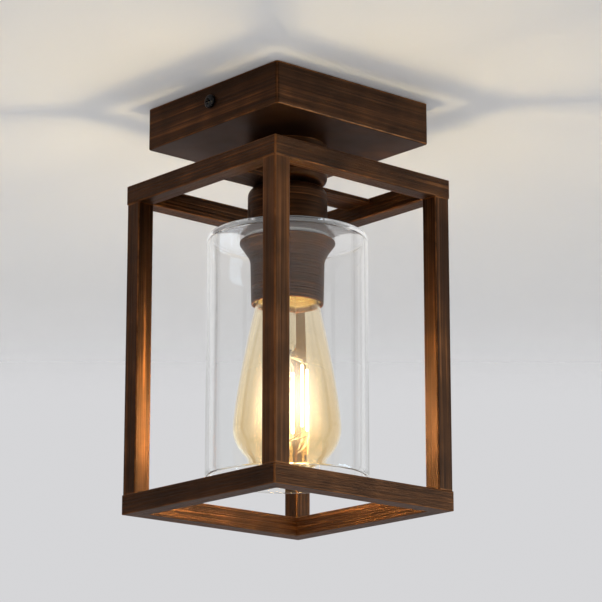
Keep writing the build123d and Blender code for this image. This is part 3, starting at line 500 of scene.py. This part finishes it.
def bronze(name, lines=None, edges=None, rims=None, inside=False, depth=None, lift=1.0):
    """Brushed dark bronze: dark coat, brush lines that bare copper, worn edges, and raw metal inside.

    lines counts the brush lines per metre along each axis. Where it isn't given, the brushing is level.
    """
    finish = bpy.context.scene.lantern_bronze
    material, tree, shader, _, where = blank(name)
    lines = lines or (finish.along, finish.along, finish.across)
    brush = use(tree, brush_group(), {"Vector": where, "Lines": lines})
    copper, wear = brush["Copper"], {"Vector": where, "Width": finish.wear}
    if edges:
        worn = use(tree, edge_group(), {**wear, "Middle": edges[0], "Half": edges[1]})["Worn"]
        copper = maths(tree, "MAXIMUM", copper, worn)
    if rims:
        worn = use(tree, rim_group(), {**wear, "Upper": rims[0], "Lower": rims[1]})["Worn"]
        copper = maths(tree, "MAXIMUM", copper, worn)
    # lift makes the whole coat paler; on the front post and the bottom rails this is painted light
    dark, light = ([lift * part for part in tone] for tone in (finish.dark, finish.light))
    coat = between(tree, brush["Tone"], dark, light)
    shade = between(tree, maths(tree, "MULTIPLY", copper, finish.bare), coat, finish.copper)
    if inside:
        raw = put(tree, "ShaderNodeAttribute", attribute_name="inside").outputs["Fac"]
        metal = between(tree, brush["Tone"], finish.raw_dark, finish.raw_light)
        shade = between(tree, raw, shade, metal)
    tree.links.new(shade, shader.inputs["Base Color"])
    tree.links.new(step(tree, brush["Height"], 0.3, 0.7, 0.38, 0.54), shader.inputs["Roughness"])
    shader.inputs["Metallic"].default_value = 0.95
    shader.inputs["Specular Tint"].default_value = (0.80, 0.75, 0.74, 1.0)
    shader.inputs["Coat Weight"].default_value = finish.lacquer
    shader.inputs["Coat Roughness"].default_value = 0.45
    bump(tree, shader, brush["Height"], depth or finish.bump)
    return material


def mottled(name, first, last, grains, rough, metallic=0.0, depth=0.0, **sockets):
    """A plated, moulded or fired surface that drifts between two colours and two roughnesses.

    grains counts the grains per metre, alike on all axes or for each.
    """
    material, tree, shader, _, where = blank(name)
    grains = grains if isinstance(grains, tuple) else (grains,) * 3
    mottle = use(tree, mottle_group(), {"Vector": where, "Grains": grains})
    tree.links.new(between(tree, mottle["Drift"], first, last), shader.inputs["Base Color"])
    tree.links.new(step(tree, mottle["Drift"], 0.0, 1.0, *rough), shader.inputs["Roughness"])
    shader.inputs["Metallic"].default_value = metallic
    for key, value in sockets.items():
        shader.inputs[key.replace("_", " ").title()].default_value = value
    if depth:
        bump(tree, shader, mottle["Grain"], depth)
    return material


def clear_to_lamps(tree, shader, output, tint):
    """Lets lamp light straight through a tinted glass, and lets out light that is caught in its wall."""
    clear = put(tree, "ShaderNodeBsdfTransparent", {0: (*(math.sqrt(part) for part in tint), 1.0)})
    path = put(tree, "ShaderNodeLightPath").outputs
    straight = maths(tree, "MAXIMUM", path["Is Shadow Ray"], step(tree, path["Glossy Depth"], 1.4, 1.6))
    either = put(tree, "ShaderNodeMixShader", {0: straight, 1: shader.outputs[0], 2: clear.outputs[0]})
    tree.links.new(either.outputs[0], output.inputs["Surface"])


def glass(name, low, high, levels, ior, wave, smudge, lit=None):
    """Glass tinted between two colours by height, with faint drawn waves and smudges.

    lit is the box of what shines inside: the glass gets a painted glow before it, a faint painted haze, and
    a painted highlight at its outline. Other glass takes a faint painted reflection of the bright room
    where it is seen edge on.
    """
    material, tree, shader, output, where = blank(name)
    z = put(tree, "ShaderNodeSeparateXYZ", {0: where}).outputs[2]
    tint = between(tree, step(tree, z, *levels), low, high)
    tree.links.new(tint, shader.inputs["Base Color"])
    drawn = vectors(tree, "MULTIPLY", where, (90.0, 90.0, 9.0))
    smudges = step(tree, noise(tree, where, 35.0, 4.0), 0.45, 0.80, 0.0, smudge)
    tree.links.new(smudges, shader.inputs["Roughness"])
    shader.inputs["Transmission Weight"].default_value = 1.0
    shader.inputs["IOR"].default_value = ior
    bump(tree, shader, noise(tree, drawn, 1.0, 2.0), wave)
    facing = put(tree, "ShaderNodeLayerWeight", {"Blend": 0.5}).outputs["Facing"]
    if lit:
        form = bpy.context.scene.lantern_bulb
        off = maths(tree, "ABSOLUTE", maths(tree, "SUBTRACT", z, (lit[0].z + lit[1].z) / 2))
        near = step(tree, off, (lit[1].z - lit[0].z) * 0.72, (lit[1].z - lit[0].z) * 0.25)
        ahead = step(tree, facing, 0.15, 0.05)
        # Painted glare before the lit sticks over a faint painted haze, then a painted highlight at the
        # outline
        glow = between(tree, maths(tree, "MULTIPLY", near, ahead), form.painted_haze, form.painted_glare)
        glow = between(tree, step(tree, facing, 0.55, 0.95), glow, form.outline)
    else:
        # Painted reflection of the bright room: emission where the clear glass is seen edge on
        glow = between(tree, step(tree, facing, 0.50, 0.95), (0.0, 0.0, 0.0), (1.0, 1.0, 1.0))
    tree.links.new(glow, shader.inputs["Emission Color"])
    shader.inputs["Emission Strength"].default_value = 1.0 if lit else bpy.context.scene.lantern_glass.painted_edge_sheen
    clear_to_lamps(tree, shader, output, [(a + b) / 2 for a, b in zip(low, high)])
    return material


# Operators

class LANTERN_OT_studio(bpy.types.Operator):
    """Camera, ceiling, floor, background and lamps"""

    bl_idname = "lantern.studio"
    bl_label = "Studio"
    corners = ((-1, -1), (-1, 1), (1, 1), (1, -1))

    def execute(self, context):
        scene, view, studio = context.scene, context.scene.lantern_view, context.scene.lantern_studio
        scene.view_settings.view_transform = "Standard"
        away = Vector((math.sin(view.azimuth), -math.cos(view.azimuth), 0.0))
        aim = view.azimuth + view.yaw
        forward = Vector((-math.sin(aim) * math.cos(view.pitch), math.cos(aim) * math.cos(view.pitch),
                          math.sin(view.pitch)))
        side = Vector((math.cos(aim), math.sin(aim), 0.0))
        lens = bpy.data.cameras.new("photograph")
        lens.lens, lens.sensor_width, lens.clip_start, lens.clip_end = view.lens, 36.0, 0.01, 100.0
        camera = bpy.data.objects.new("photograph", lens)
        place = away * view.distance + Vector((0, 0, view.height))
        turn = Matrix((side, side.cross(forward), -forward)).transposed()
        camera.matrix_world = Matrix.Translation(place) @ turn.to_4x4()
        scene.collection.objects.link(camera)
        scene.camera = camera
        self.ceiling(studio, away)
        self.floor(studio)
        self.world(scene, studio)
        self.lamps(scene, studio, away, side)
        return {"FINISHED"}

    def sheet(self, name, points, faces, material):
        """A flat sheet."""
        mesh = bpy.data.meshes.new(name)
        mesh.from_pydata(points, [], faces)
        mesh.materials.append(material)
        made = bpy.data.objects.new(name, mesh)
        bpy.context.scene.collection.objects.link(made)

    def ceiling(self, studio, away):
        """Ceiling seen only from below, with a hole that lets light into the open top of the canopy.

        It fades into the wall behind at its far side, and casts no shadow.
        """
        material, tree, shader, output, where = blank("ceiling_paint")
        soft = noise(tree, where, 3.0, 2.0)
        shade = between(tree, soft, [studio.patches * part for part in studio.ceiling], studio.ceiling)
        tree.links.new(shade, shader.inputs["Base Color"])
        shader.inputs["Roughness"].default_value = 0.9
        shader.inputs["Specular IOR Level"].default_value = 0.1
        hidden = maths(tree, "MAXIMUM", put(tree, "ShaderNodeNewGeometry").outputs["Backfacing"],
                       put(tree, "ShaderNodeLightPath").outputs["Is Shadow Ray"])
        depth, fade = studio.ceiling_depth, studio.ceiling_fade
        far_off = put(tree, "ShaderNodeVectorMath", {0: where, 1: -away}, operation="DOT_PRODUCT")
        beyond = step(tree, far_off.outputs["Value"], depth - fade, depth + fade)
        hidden = maths(tree, "MAXIMUM", hidden, beyond)
        clear = put(tree, "ShaderNodeBsdfTransparent")
        seen = put(tree, "ShaderNodeMixShader", {0: hidden, 1: shader.outputs[0], 2: clear.outputs[0]})
        tree.links.new(seen.outputs[0], output.inputs["Surface"])
        sizes, level = (studio.ceiling_reach, span("canopy")[1].x - studio.ceiling_lap), studio.ceiling_gap
        points = [(x * size, y * size, level) for size in sizes for x, y in self.corners]
        faces = [(k, (k + 1) % 4, (k + 1) % 4 + 4, k + 4) for k in range(4)]
        self.sheet("ceiling", points, faces, material)

    def floor(self, studio):
        """Pale grey floor far below."""
        material, tree, shader, _, where = blank("floor_paint")
        soft = noise(tree, where, 1.5, 3.0)
        shade = between(tree, soft, [studio.patches * part for part in studio.floor], studio.floor)
        tree.links.new(shade, shader.inputs["Base Color"])
        shader.inputs["Roughness"].default_value = 0.8
        reach, level = studio.floor_reach, -studio.floor_drop
        points = [(x * reach, y * reach, level) for x, y in self.corners]
        self.sheet("floor", points, [(3, 2, 1, 0)], material)

    def world(self, scene, studio):
        """Even room light, a dimmer room in reflections, and the pale wall that shows behind."""
        scene.world = bpy.data.worlds.new("room")
        scene.world.use_nodes = True
        tree = scene.world.node_tree
        tree.nodes.clear()
        path = put(tree, "ShaderNodeLightPath").outputs
        seen = maths(tree, "MAXIMUM", path["Is Camera Ray"], path["Is Transmission Ray"])
        wall = put(tree, "ShaderNodeBackground", {0: (*studio.backdrop, 1.0), 1: 1.0})
        light = step(tree, path["Is Glossy Ray"], 0.0, 1.0, studio.room_light, studio.gloss_light)
        room = put(tree, "ShaderNodeBackground", {0: (1.0, 1.0, 1.0, 1.0), 1: light})
        either = put(tree, "ShaderNodeMixShader", {0: seen, 1: room.outputs[0], 2: wall.outputs[0]})
        put(tree, "ShaderNodeOutputWorld", {0: either.outputs[0]})

    def lamps(self, scene, studio, away, side):
        """A soft key on the right, a weak fill on the left, and a wide wash on the ceiling."""
        def spot(near, right, up):
            """A place so far towards the camera, to the camera's right, and up from the ceiling."""
            return away * near + side * right + Vector((0, 0, up))

        middle = Vector((0, 0, studio.lamp_aim))
        key = self.area(scene, "key", spot(near=0.05, right=1.5, up=-0.5), middle, size=(0.7, 1.3),
                        power=studio.key_power, tint=(0.64, 0.82, 1.0))
        fill = self.area(scene, "fill", spot(near=1.2, right=-1.2, up=-0.9), middle, size=(1.0, 1.0),
                         power=studio.key_power * studio.fill_share, tint=(1.0, 0.97, 0.94))
        below = spot(near=-0.4, right=0.0, up=-1.6)
        wash = self.area(scene, "wash", below, below + Vector((0, 0, 1)), size=(3.0, 3.0),
                         power=studio.wash_power, tint=(0.92, 0.96, 1.0))
        # The key shows only in gloss, the wash only on dull surfaces, and none of them through glass
        key.visible_diffuse = key.visible_transmission = fill.visible_transmission = False
        wash.visible_glossy = wash.visible_transmission = False

    def area(self, scene, name, place, target, size, power, tint):
        """A rectangular lamp aimed at a point, unseen by the camera."""
        light = bpy.data.lights.new(name, "AREA")
        light.shape, (light.size, light.size_y) = "RECTANGLE", size
        light.energy, light.color = power, tint
        lamp = bpy.data.objects.new(name, light)
        lamp.matrix_world = Matrix.Translation(place) @ (
            target - place).to_track_quat("-Z", "Y").to_matrix().to_4x4()
        lamp.visible_camera = False
        scene.collection.objects.link(lamp)
        return lamp


class LANTERN_OT_frame_tubes(bpy.types.Operator):
    """Brushed bronze on the rails, posts and cross bar, brushed along each tube"""

    bl_idname = "lantern.frame_tubes"
    bl_label = "Frame tubes"

    def execute(self, context):
        finish = context.scene.lantern_bronze
        names = [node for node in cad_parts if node.startswith(("top_rail", "bottom_rail", "post_"))]
        if len(names) != 12:
            raise RuntimeError("the frame has twelve tubes")
        for node in [*names, "cross_bar"]:
            middle, half = span(node)
            lines = [finish.across] * 3
            lines[max(range(3), key=lambda axis: half[axis])] = finish.along
            # Painted light: the front post is made paler for the bulb's glare, and the right, back and left
            # bottom rails for light falling on them
            lift = finish.front if node == "post_front_right" else 1.0
            # Painted light on the right, back and left bottom rails
            if node in ("bottom_rail_right", "bottom_rail_back", "bottom_rail_left"):
                lift = finish.bottom
            depth = finish.bump if node.startswith("post") else finish.rail_bump
            coat = bronze("bronze_" + node, lines, edges=(middle, half), depth=depth, lift=lift)
            finish_nodes(coat, node)
        return {"FINISHED"}


class LANTERN_OT_canopy(bpy.types.Operator):
    """Brushed bronze canopy and its two black screws"""

    bl_idname = "lantern.canopy"
    bl_label = "Canopy"

    def execute(self, context):
        finish_nodes(bronze("bronze_canopy", edges=span("canopy")), "canopy")
        black = mottled("black_oxide", (0.010, 0.010, 0.011), (0.024, 0.022, 0.021), 900.0,
                        (0.26, 0.42), metallic=0.75, depth=0.00002)
        finish_nodes(black, "canopy_screw_front", "canopy_screw_back")
        return {"FINISHED"}


class LANTERN_OT_cups(bpy.types.Operator):
    """Spun bronze spacer and holder cup, brushed round the axis"""

    bl_idname = "lantern.cups"
    bl_label = "Cups"

    def execute(self, context):
        for node in ("spacer_cup", "holder_cup"):
            low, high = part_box(node)
            finish_nodes(bronze("bronze_" + node, rims=(high.z, low.z)), node)
        return {"FINISHED"}


class LANTERN_OT_shade_ring(bpy.types.Operator):
    """Spun trumpet ring with rolled edges and the thread in its bore"""

    bl_idname = "lantern.shade_ring"
    bl_label = "Shade ring"

    def execute(self, context):
        ring, finish = context.scene.lantern_ring, context.scene.lantern_bronze
        threads = context.scene.lantern_threads
        low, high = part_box("shade_ring")
        flange, top, foot, r = high.x, high.z, low.z, ring.round
        waist, mouth, bore = ring.waist / 2, ring.mouth / 2, ring.bore / 2
        throat = top - ring.drop
        lean = np.array([mouth - waist, foot - throat])
        reach = math.hypot(flange - waist, ring.drop - ring.edge)
        # Outline: flat top, rolled edge, cubic trumpet, sleeve and rolled mouth, then up inside to the bore
        rise = r * (1 - math.sin(ring.flare)) / math.cos(ring.flare)
        roll = arc((flange - r, top - ring.edge + rise), r, 0, math.degrees(ring.flare) - 90)
        trumpet = hermite(roll[-1], (-reach * math.cos(ring.flare), -reach * math.sin(ring.flare)),
                          (waist, throat), lean / np.linalg.norm(lean) * reach, 24)
        inside = np.array([[waist - ring.wall, throat], [waist - ring.wall, top - ring.thread],
                           [bore, top - ring.thread], [bore, top]])
        outer = joined(
            subdivided(np.array([[bore, top], [flange - r, top]]), 0.001),
            arc((flange - r, top - r), r, 90, 0), roll, trumpet,
            subdivided(np.array([[waist, throat], [mouth, foot + r]]), 0.002),
            arc((mouth - r, foot + r), r, 0, -90))
        inner = joined(
            arc((mouth - ring.wall + r, foot + r), r, -90, -180),
            subdivided(np.array([[mouth - ring.wall, foot + r], [waist - ring.wall, throat]]), 0.002),
            subdivided(inside, THREAD_STEP))[:-1]
        profile = np.vstack([outer, inner])
        within = np.arange(len(profile)) >= len(outer)
        raw = np.repeat(within & (profile[:, 1] > foot + ring.lip), COLUMNS)

        def shape(turn, radius, height):
            """Valleys cut outwards in the bore: r = bore + depth fade wave."""
            fade, wave = thread(turn, height, threads.skirt_pitch, top - ring.thread, top, threads.fine_run)
            return radius + np.where(radius < bore + SAME_FACE, threads.skirt_depth * fade * wave, 0.0)

        coat = bronze("bronze_shade_ring", rims=(top - ring.edge / 2, foot), inside=True,
                      depth=finish.rail_bump, lift=finish.ring)
        dress("shade_ring_spun", lathe(profile, COLUMNS, True, shape), "shade_ring",
              ["shade_ring"], coat, marks={"inside": raw})
        return {"FINISHED"}


class LANTERN_OT_glass_shade(bpy.types.Operator):
    """Blown glass cylinder and the two soft rings that hold it"""

    bl_idname = "lantern.glass_shade"
    bl_label = "Glass shade"

    def execute(self, context):
        form = context.scene.lantern_glass
        low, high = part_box("glass_shade")
        out, top, foot, hole = high.x, high.z, low.z, form.hole / 2
        inner, under = out - form.wall, top - form.top
        # Outline: flat top, shoulder arc, side and round rim, then up inside and along to the hole
        profile = subdivided(joined(
            np.array([[hole, top]]),
            arc((out - form.shoulder, top - form.shoulder), form.shoulder, 90, 0, 15),
            arc((out - form.rim, foot + form.rim), form.rim, 0, -90),
            arc((inner + form.rim, foot + form.rim), form.rim, -90, -180),
            arc((inner - form.corner, under - form.corner), form.corner, 0, 90),
            np.array([[hole, under], [hole, top]])), 0.003)[:-1]

        def shape(turn, radius, height):
            """Uneven faces: r - wave (2.1 + slow + fine), where slow and fine are sines of v and z."""
            slow = np.sin(3 * turn + 31 * height) + 0.7 * np.sin(7 * turn - 23 * height + 1.0)
            face = np.where(radius > inner + form.wall / 2, 1.0, -0.6)
            fine = 0.4 * np.sin(17 * turn + 12 * height) * face
            return radius - form.wave * (2.1 + slow + fine)

        clear = glass("clear_glass", tuple(form.tint), (1.0, 1.0, 1.0), (foot, top), ior=1.47,
                      wave=0.00002, smudge=0.012)
        dress("glass_shade_blown", lathe(profile, GLASS_COLUMNS, True, shape), "shade",
              ["glass_shade"], clear)
        soft = mottled("silicone", (0.50, 0.49, 0.46), (0.60, 0.59, 0.56), 400.0, (0.50, 0.62),
                       depth=0.00002)
        finish_nodes(soft, "shade_gasket_upper", "shade_gasket_lower")
        return {"FINISHED"}


class LANTERN_OT_bulb(bpy.types.Operator):
    """Amber bulb glass, rolled cap, insulator, tip, mount and wires"""

    bl_idname = "lantern.bulb"
    bl_label = "Bulb"

    def execute(self, context):
        form, threads = context.scene.lantern_bulb, context.scene.lantern_threads
        low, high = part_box("bulb_envelope")
        neck, rim = form.neck / 2, high.z - form.neck_insert
        along = np.array([math.sin(form.flank), -math.cos(form.flank)])
        onward = np.array([math.sin(form.foot), -math.cos(form.foot)])
        start = np.array([form.shoulder / 2, rim - form.shoulder_height])
        belly = np.array([high.x - form.belly, low.z + form.belly_height])
        foot = belly + form.belly * np.array([math.cos(form.foot), math.sin(form.foot)])
        # The arc of the crown is centred on the axis and meets the arc of the belly smoothly
        base = (belly[0]**2 + form.belly_height**2 - form.belly**2) / (2 * (form.belly_height - form.belly))
        turn = math.degrees(math.atan2(belly[1] - low.z - base, belly[0]))
        down = np.linalg.norm(foot - start)
        # Outline: straight neck, swell, flank, belly and crown, with the inner face one wall inside it
        outer = joined(
            subdivided(np.array([[neck, high.z], [neck, rim]]), 0.001),
            hermite((neck, rim), (0.0, -form.neck_pull), start, along * form.flank_pull, 18),
            hermite(start, along * down, foot, onward * down, 48),
            arc(belly, form.belly, math.degrees(form.foot), turn, 24),
            arc((0.0, low.z + base), base, turn, -90, 40))
        outer[-1, 0] = 0.0
        slope = np.gradient(outer, axis=0)
        slope /= np.linalg.norm(slope, axis=1)[:, None]
        inner = outer + form.wall * np.column_stack([slope[:, 1], -slope[:, 0]])
        inner[0], inner[-1] = (neck - form.wall, high.z), (0.0, low.z + form.wall)
        profile = np.vstack([inner[::-1], outer])
        levels = low.z + form.amber_level, rim
        amber = glass("amber_glass", tuple(form.amber_low), tuple(form.amber_top), levels, ior=1.46,
                      wave=0.00001, smudge=0.008, lit=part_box("bulb_filaments"))
        dress("bulb_glass_blown", lathe(profile, COLUMNS, False), "bulb_glass",
              ["bulb_envelope"], amber)
        self.cap(threads)
        finish_nodes(mottled("black_glass", (0.006, 0.006, 0.008), (0.014, 0.012, 0.016), 500.0,
                             (0.06, 0.16)), "bulb_insulator")
        finish_nodes(mottled("tinned_tip", (0.55, 0.50, 0.42), (0.72, 0.69, 0.62), 700.0,
                             (0.25, 0.42), metallic=1.0, depth=0.00004), "bulb_tip")
        finish_nodes(mottled("nickel_wire", (0.50, 0.44, 0.38), (0.68, 0.62, 0.55), 600.0,
                             (0.22, 0.36), metallic=1.0), "bulb_wires")
        levels = tuple(part.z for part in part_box("bulb_stem"))
        finish_nodes(glass("mount_glass", (0.97, 0.95, 0.90), (0.99, 0.99, 0.97), levels, ior=1.5,
                           wave=0.00002, smudge=0.02), "bulb_stem")
        return {"FINISHED"}

    def cap(self, threads):
        """Rolled cap: r = crest - depth fade wave on both faces of the sheet."""
        low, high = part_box("bulb_cap")
        crest, sheet = high.x, threads.cap_sheet
        sides = np.array([[crest, high.z], [crest, low.z], [crest - sheet, low.z], [crest - sheet, high.z],
                          [crest, high.z]])

        def shape(turn, radius, height):
            """Thread that fades out at both ends of the cap."""
            fade, wave = thread(turn, height, threads.cap_pitch, low.z + threads.cap_foot,
                                high.z - threads.cap_head, threads.cap_run)
            return radius - threads.cap_depth * fade * wave

        nickel = mottled("nickel_cap", (0.46, 0.44, 0.41), (0.66, 0.64, 0.60), (160.0, 160.0, 700.0),
                         (0.20, 0.36), metallic=1.0)
        dress("bulb_cap_rolled", turned(sides, shape), "bulb_base", ["bulb_cap"], nickel)


class LANTERN_OT_filaments(bpy.types.Operator):
    """Lit sticks with rounded ends, brightest in the middle"""

    bl_idname = "lantern.filaments"
    bl_label = "Filaments"

    def execute(self, context):
        form = context.scene.lantern_bulb
        low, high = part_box("bulb_filaments")
        r = form.stick_width / 2
        # Outline of a stick: quarter circle, straight side, quarter circle
        profile = joined(arc((0.0, low.z + r), r, -90, 0), subdivided(
            np.array([[r, low.z + r], [r, high.z - r]]), 0.002), arc((0.0, high.z - r), r, 0, 90))
        profile[[0, -1], 0] = 0.0
        points, faces = lathe(profile, STICK_COLUMNS, False)
        turns = form.stick_start + np.arange(form.sticks) * 2 * np.pi / form.sticks
        surface = repeated(points + np.array([form.stick_circle / 2, 0.0, 0.0]), faces, turns)
        material, tree, shader, _, where = blank("lit_stick")
        z = put(tree, "ShaderNodeSeparateXYZ", {0: where}).outputs[2]
        off = maths(tree, "ABSOLUTE", maths(tree, "SUBTRACT", z, (low.z + high.z) / 2))
        grain = maths(tree, "MULTIPLY", noise(tree, where, 900.0, 2.0), 0.004)
        heat = step(tree, maths(tree, "ADD", off, grain), 0.006, (high.z - low.z) / 2 + 0.001, 1.0, 0.0)
        phosphor = between(tree, heat, (0.75, 0.38, 0.06), (0.95, 0.66, 0.22))
        tree.links.new(phosphor, shader.inputs["Base Color"])
        tree.links.new(between(tree, heat, form.ends, form.hot), shader.inputs["Emission Color"])
        shader.inputs["Emission Strength"].default_value = form.glow
        shader.inputs["Roughness"].default_value = 0.6
        dress("filament_sticks", surface, "bulb_base", ["bulb_filaments"], material)
        return {"FINISHED"}


class LANTERN_OT_lampholder(bpy.types.Operator):
    """Moulded lampholder with its threaded skirt, rolled shell and brass contacts"""

    bl_idname = "lantern.lampholder"
    bl_label = "Lampholder"

    def execute(self, context):
        threads = context.scene.lantern_threads
        moulded = mottled("black_moulding", (0.012, 0.012, 0.012), (0.022, 0.021, 0.020), 900.0,
                          (0.36, 0.50), depth=0.00003)
        finish_nodes(moulded, "lampholder_cap")
        self.skirt(threads, moulded)
        brass = mottled("brass", (0.55, 0.34, 0.10), (0.76, 0.53, 0.22), (140.0, 140.0, 500.0),
                        (0.22, 0.40), metallic=1.0, depth=0.00001)
        self.shell(threads, brass)
        finish_nodes(brass, "lampholder_contact", "lampholder_terminals", "lampholder_terminal_screws")
        finish_nodes(mottled("fired_ceramic", (0.66, 0.63, 0.57), (0.80, 0.78, 0.73), 350.0,
                             (0.32, 0.55), depth=0.00004), "lampholder_insert")
        return {"FINISHED"}

    def skirt(self, threads, material):
        """Moulded skirt: r = crest - depth fade wave outside, and a ledge inside."""
        low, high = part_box("lampholder_skirt")
        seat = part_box("lampholder_insert")[0].z
        crest, inside = high.x, high.x - threads.skirt_wall
        ledge, under = inside - threads.skirt_ledge, seat - threads.skirt_ledge
        sides = np.array([[crest, high.z], [crest, low.z], [inside, low.z], [inside, under], [ledge, under],
                          [ledge, seat], [inside, seat], [inside, high.z], [crest, high.z]])

        def shape(turn, radius, height):
            """Thread on the lower part, faded at its ends."""
            fade, wave = thread(turn, height, threads.skirt_pitch, low.z + threads.skirt_foot,
                                high.z - threads.skirt_head, threads.skirt_run)
            return radius - np.where(radius > crest - SAME_FACE, threads.skirt_depth * fade * wave, 0.0)

        dress("lampholder_skirt_threaded", turned(sides, shape), "fixture",
              ["lampholder_skirt"], material)

    def shell(self, threads, material):
        """Rolled shell: r = crest + depth fade wave on both faces of the sheet."""
        low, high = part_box("lampholder_shell")
        sheet, crest = threads.cap_sheet, threads.shell_crest / 2
        out = crest + sheet
        sides = np.array([[crest, low.z], [out, low.z], [out, high.z - sheet], [high.x, high.z - sheet],
                          [high.x, high.z], [crest, high.z], [crest, low.z]])

        def shape(turn, radius, height):
            """Thread on the tube, faded at its mouth and under its flange."""
            fade, wave = thread(turn, height, threads.cap_pitch, low.z + threads.shell_foot,
                                high.z - threads.shell_head, threads.cap_run)
            return radius + np.where(radius < out + SAME_FACE, threads.cap_depth * fade * wave, 0.0)

        dress("lampholder_shell_rolled", turned(sides, shape), "fixture", ["lampholder_shell"],
              material)


class LANTERN_OT_wiring(bpy.types.Operator):
    """Bracket, stem, nuts, terminal block, earth parts and leads inside the canopy"""

    bl_idname = "lantern.wiring"
    bl_label = "Wiring"

    def execute(self, context):
        threads = context.scene.lantern_threads
        zinc = mottled("zinc_plate", (0.42, 0.43, 0.44), (0.62, 0.62, 0.61), 260.0, (0.28, 0.46),
                       metallic=1.0, depth=0.00002)
        finish_nodes(zinc, "ceiling_bracket", "stem_nuts", "stem_washers", "terminal_screws",
                     "terminal_fixing_screw", "lampholder_grub_screw")
        self.stem(threads, zinc)
        brass = mottled("tarnished_brass", (0.48, 0.29, 0.09), (0.72, 0.50, 0.20), 320.0, (0.26, 0.44),
                        metallic=1.0, depth=0.00002)
        finish_nodes(brass, "bracket_earth_screw", "terminal_clamps", "earth_tag")
        nylon = mottled("natural_nylon", (0.70, 0.69, 0.64), (0.80, 0.79, 0.75), 500.0, (0.34, 0.48),
                        depth=0.00003, subsurface_weight=0.15)
        finish_nodes(nylon, "terminal_block")
        for node, first, last in (("live_lead", (0.095, 0.034, 0.014), (0.125, 0.046, 0.020)),
                                  ("neutral_lead", (0.012, 0.075, 0.30), (0.020, 0.100, 0.37)),
                                  ("earth_lead", (0.055, 0.26, 0.030), (0.60, 0.52, 0.035))):
            sleeve = mottled(node + "_sleeve", first, last, 420.0, (0.36, 0.48), depth=0.00002)
            finish_nodes(sleeve, node)
        return {"FINISHED"}

    def stem(self, threads, material):
        """Threaded tube: r = crest - depth (1 - fade (1 - wave)) outside, and a plain bore."""
        low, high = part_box("stem_tube")
        crest, bore = high.x, threads.stem_bore / 2
        sides = np.array([[crest, high.z], [crest, low.z], [bore, low.z], [bore, high.z], [crest, high.z]])

        def shape(turn, radius, height):
            """Thread along the whole tube, with its ends turned down to the valley."""
            fade, wave = thread(turn, height, threads.stem_pitch, low.z, high.z, threads.fine_run)
            cut = threads.stem_depth * (1 - fade * (1 - wave))
            return radius - np.where(radius > crest - SAME_FACE, cut, 0.0)

        dress("stem_threaded", turned(sides, shape, STEM_STEP, STEM_COLUMNS), "fixture",
              ["stem_tube"], material)


class LANTERN_PT_sidebar(bpy.types.Panel):
    """Lists the pieces of the lantern"""

    bl_label = "Lantern"
    bl_idname = "LANTERN_PT_sidebar"
    bl_space_type = "VIEW_3D"
    bl_region_type = "UI"
    bl_category = "Lantern"

    def draw(self, context):
        for operator in OPERATORS:
            self.layout.operator(operator.bl_idname)


GROUPS = {
    "lantern_view": LanternView, "lantern_studio": LanternStudio, "lantern_bronze": LanternBronze,
    "lantern_glass": LanternGlass, "lantern_bulb": LanternBulb, "lantern_threads": LanternThreads,
    "lantern_ring": LanternRing,
}
OPERATORS = (
    LANTERN_OT_studio, LANTERN_OT_frame_tubes, LANTERN_OT_canopy, LANTERN_OT_cups, LANTERN_OT_shade_ring,
    LANTERN_OT_glass_shade, LANTERN_OT_bulb, LANTERN_OT_filaments, LANTERN_OT_lampholder, LANTERN_OT_wiring,
)


def register():
    """Registers the property groups, the operators and the panel."""
    for name, group in GROUPS.items():
        bpy.utils.register_class(group)
        setattr(bpy.types.Scene, name, PointerProperty(type=group))
    for item in (*OPERATORS, LANTERN_PT_sidebar):
        bpy.utils.register_class(item)


def unregister():
    """Takes them away again."""
    for item in (LANTERN_PT_sidebar, *reversed(OPERATORS)):
        bpy.utils.unregister_class(item)
    for name, group in reversed(GROUPS.items()):
        delattr(bpy.types.Scene, name)
        bpy.utils.unregister_class(group)


def main():
    """Builds the dressed lantern."""
    register()
    bpy.ops.lantern.studio()
    bpy.ops.lantern.frame_tubes()
    bpy.ops.lantern.canopy()
    bpy.ops.lantern.cups()
    bpy.ops.lantern.shade_ring()
    bpy.ops.lantern.glass_shade()
    bpy.ops.lantern.bulb()
    bpy.ops.lantern.filaments()
    bpy.ops.lantern.lampholder()
    bpy.ops.lantern.wiring()


if __name__ == "__main__":
    main()
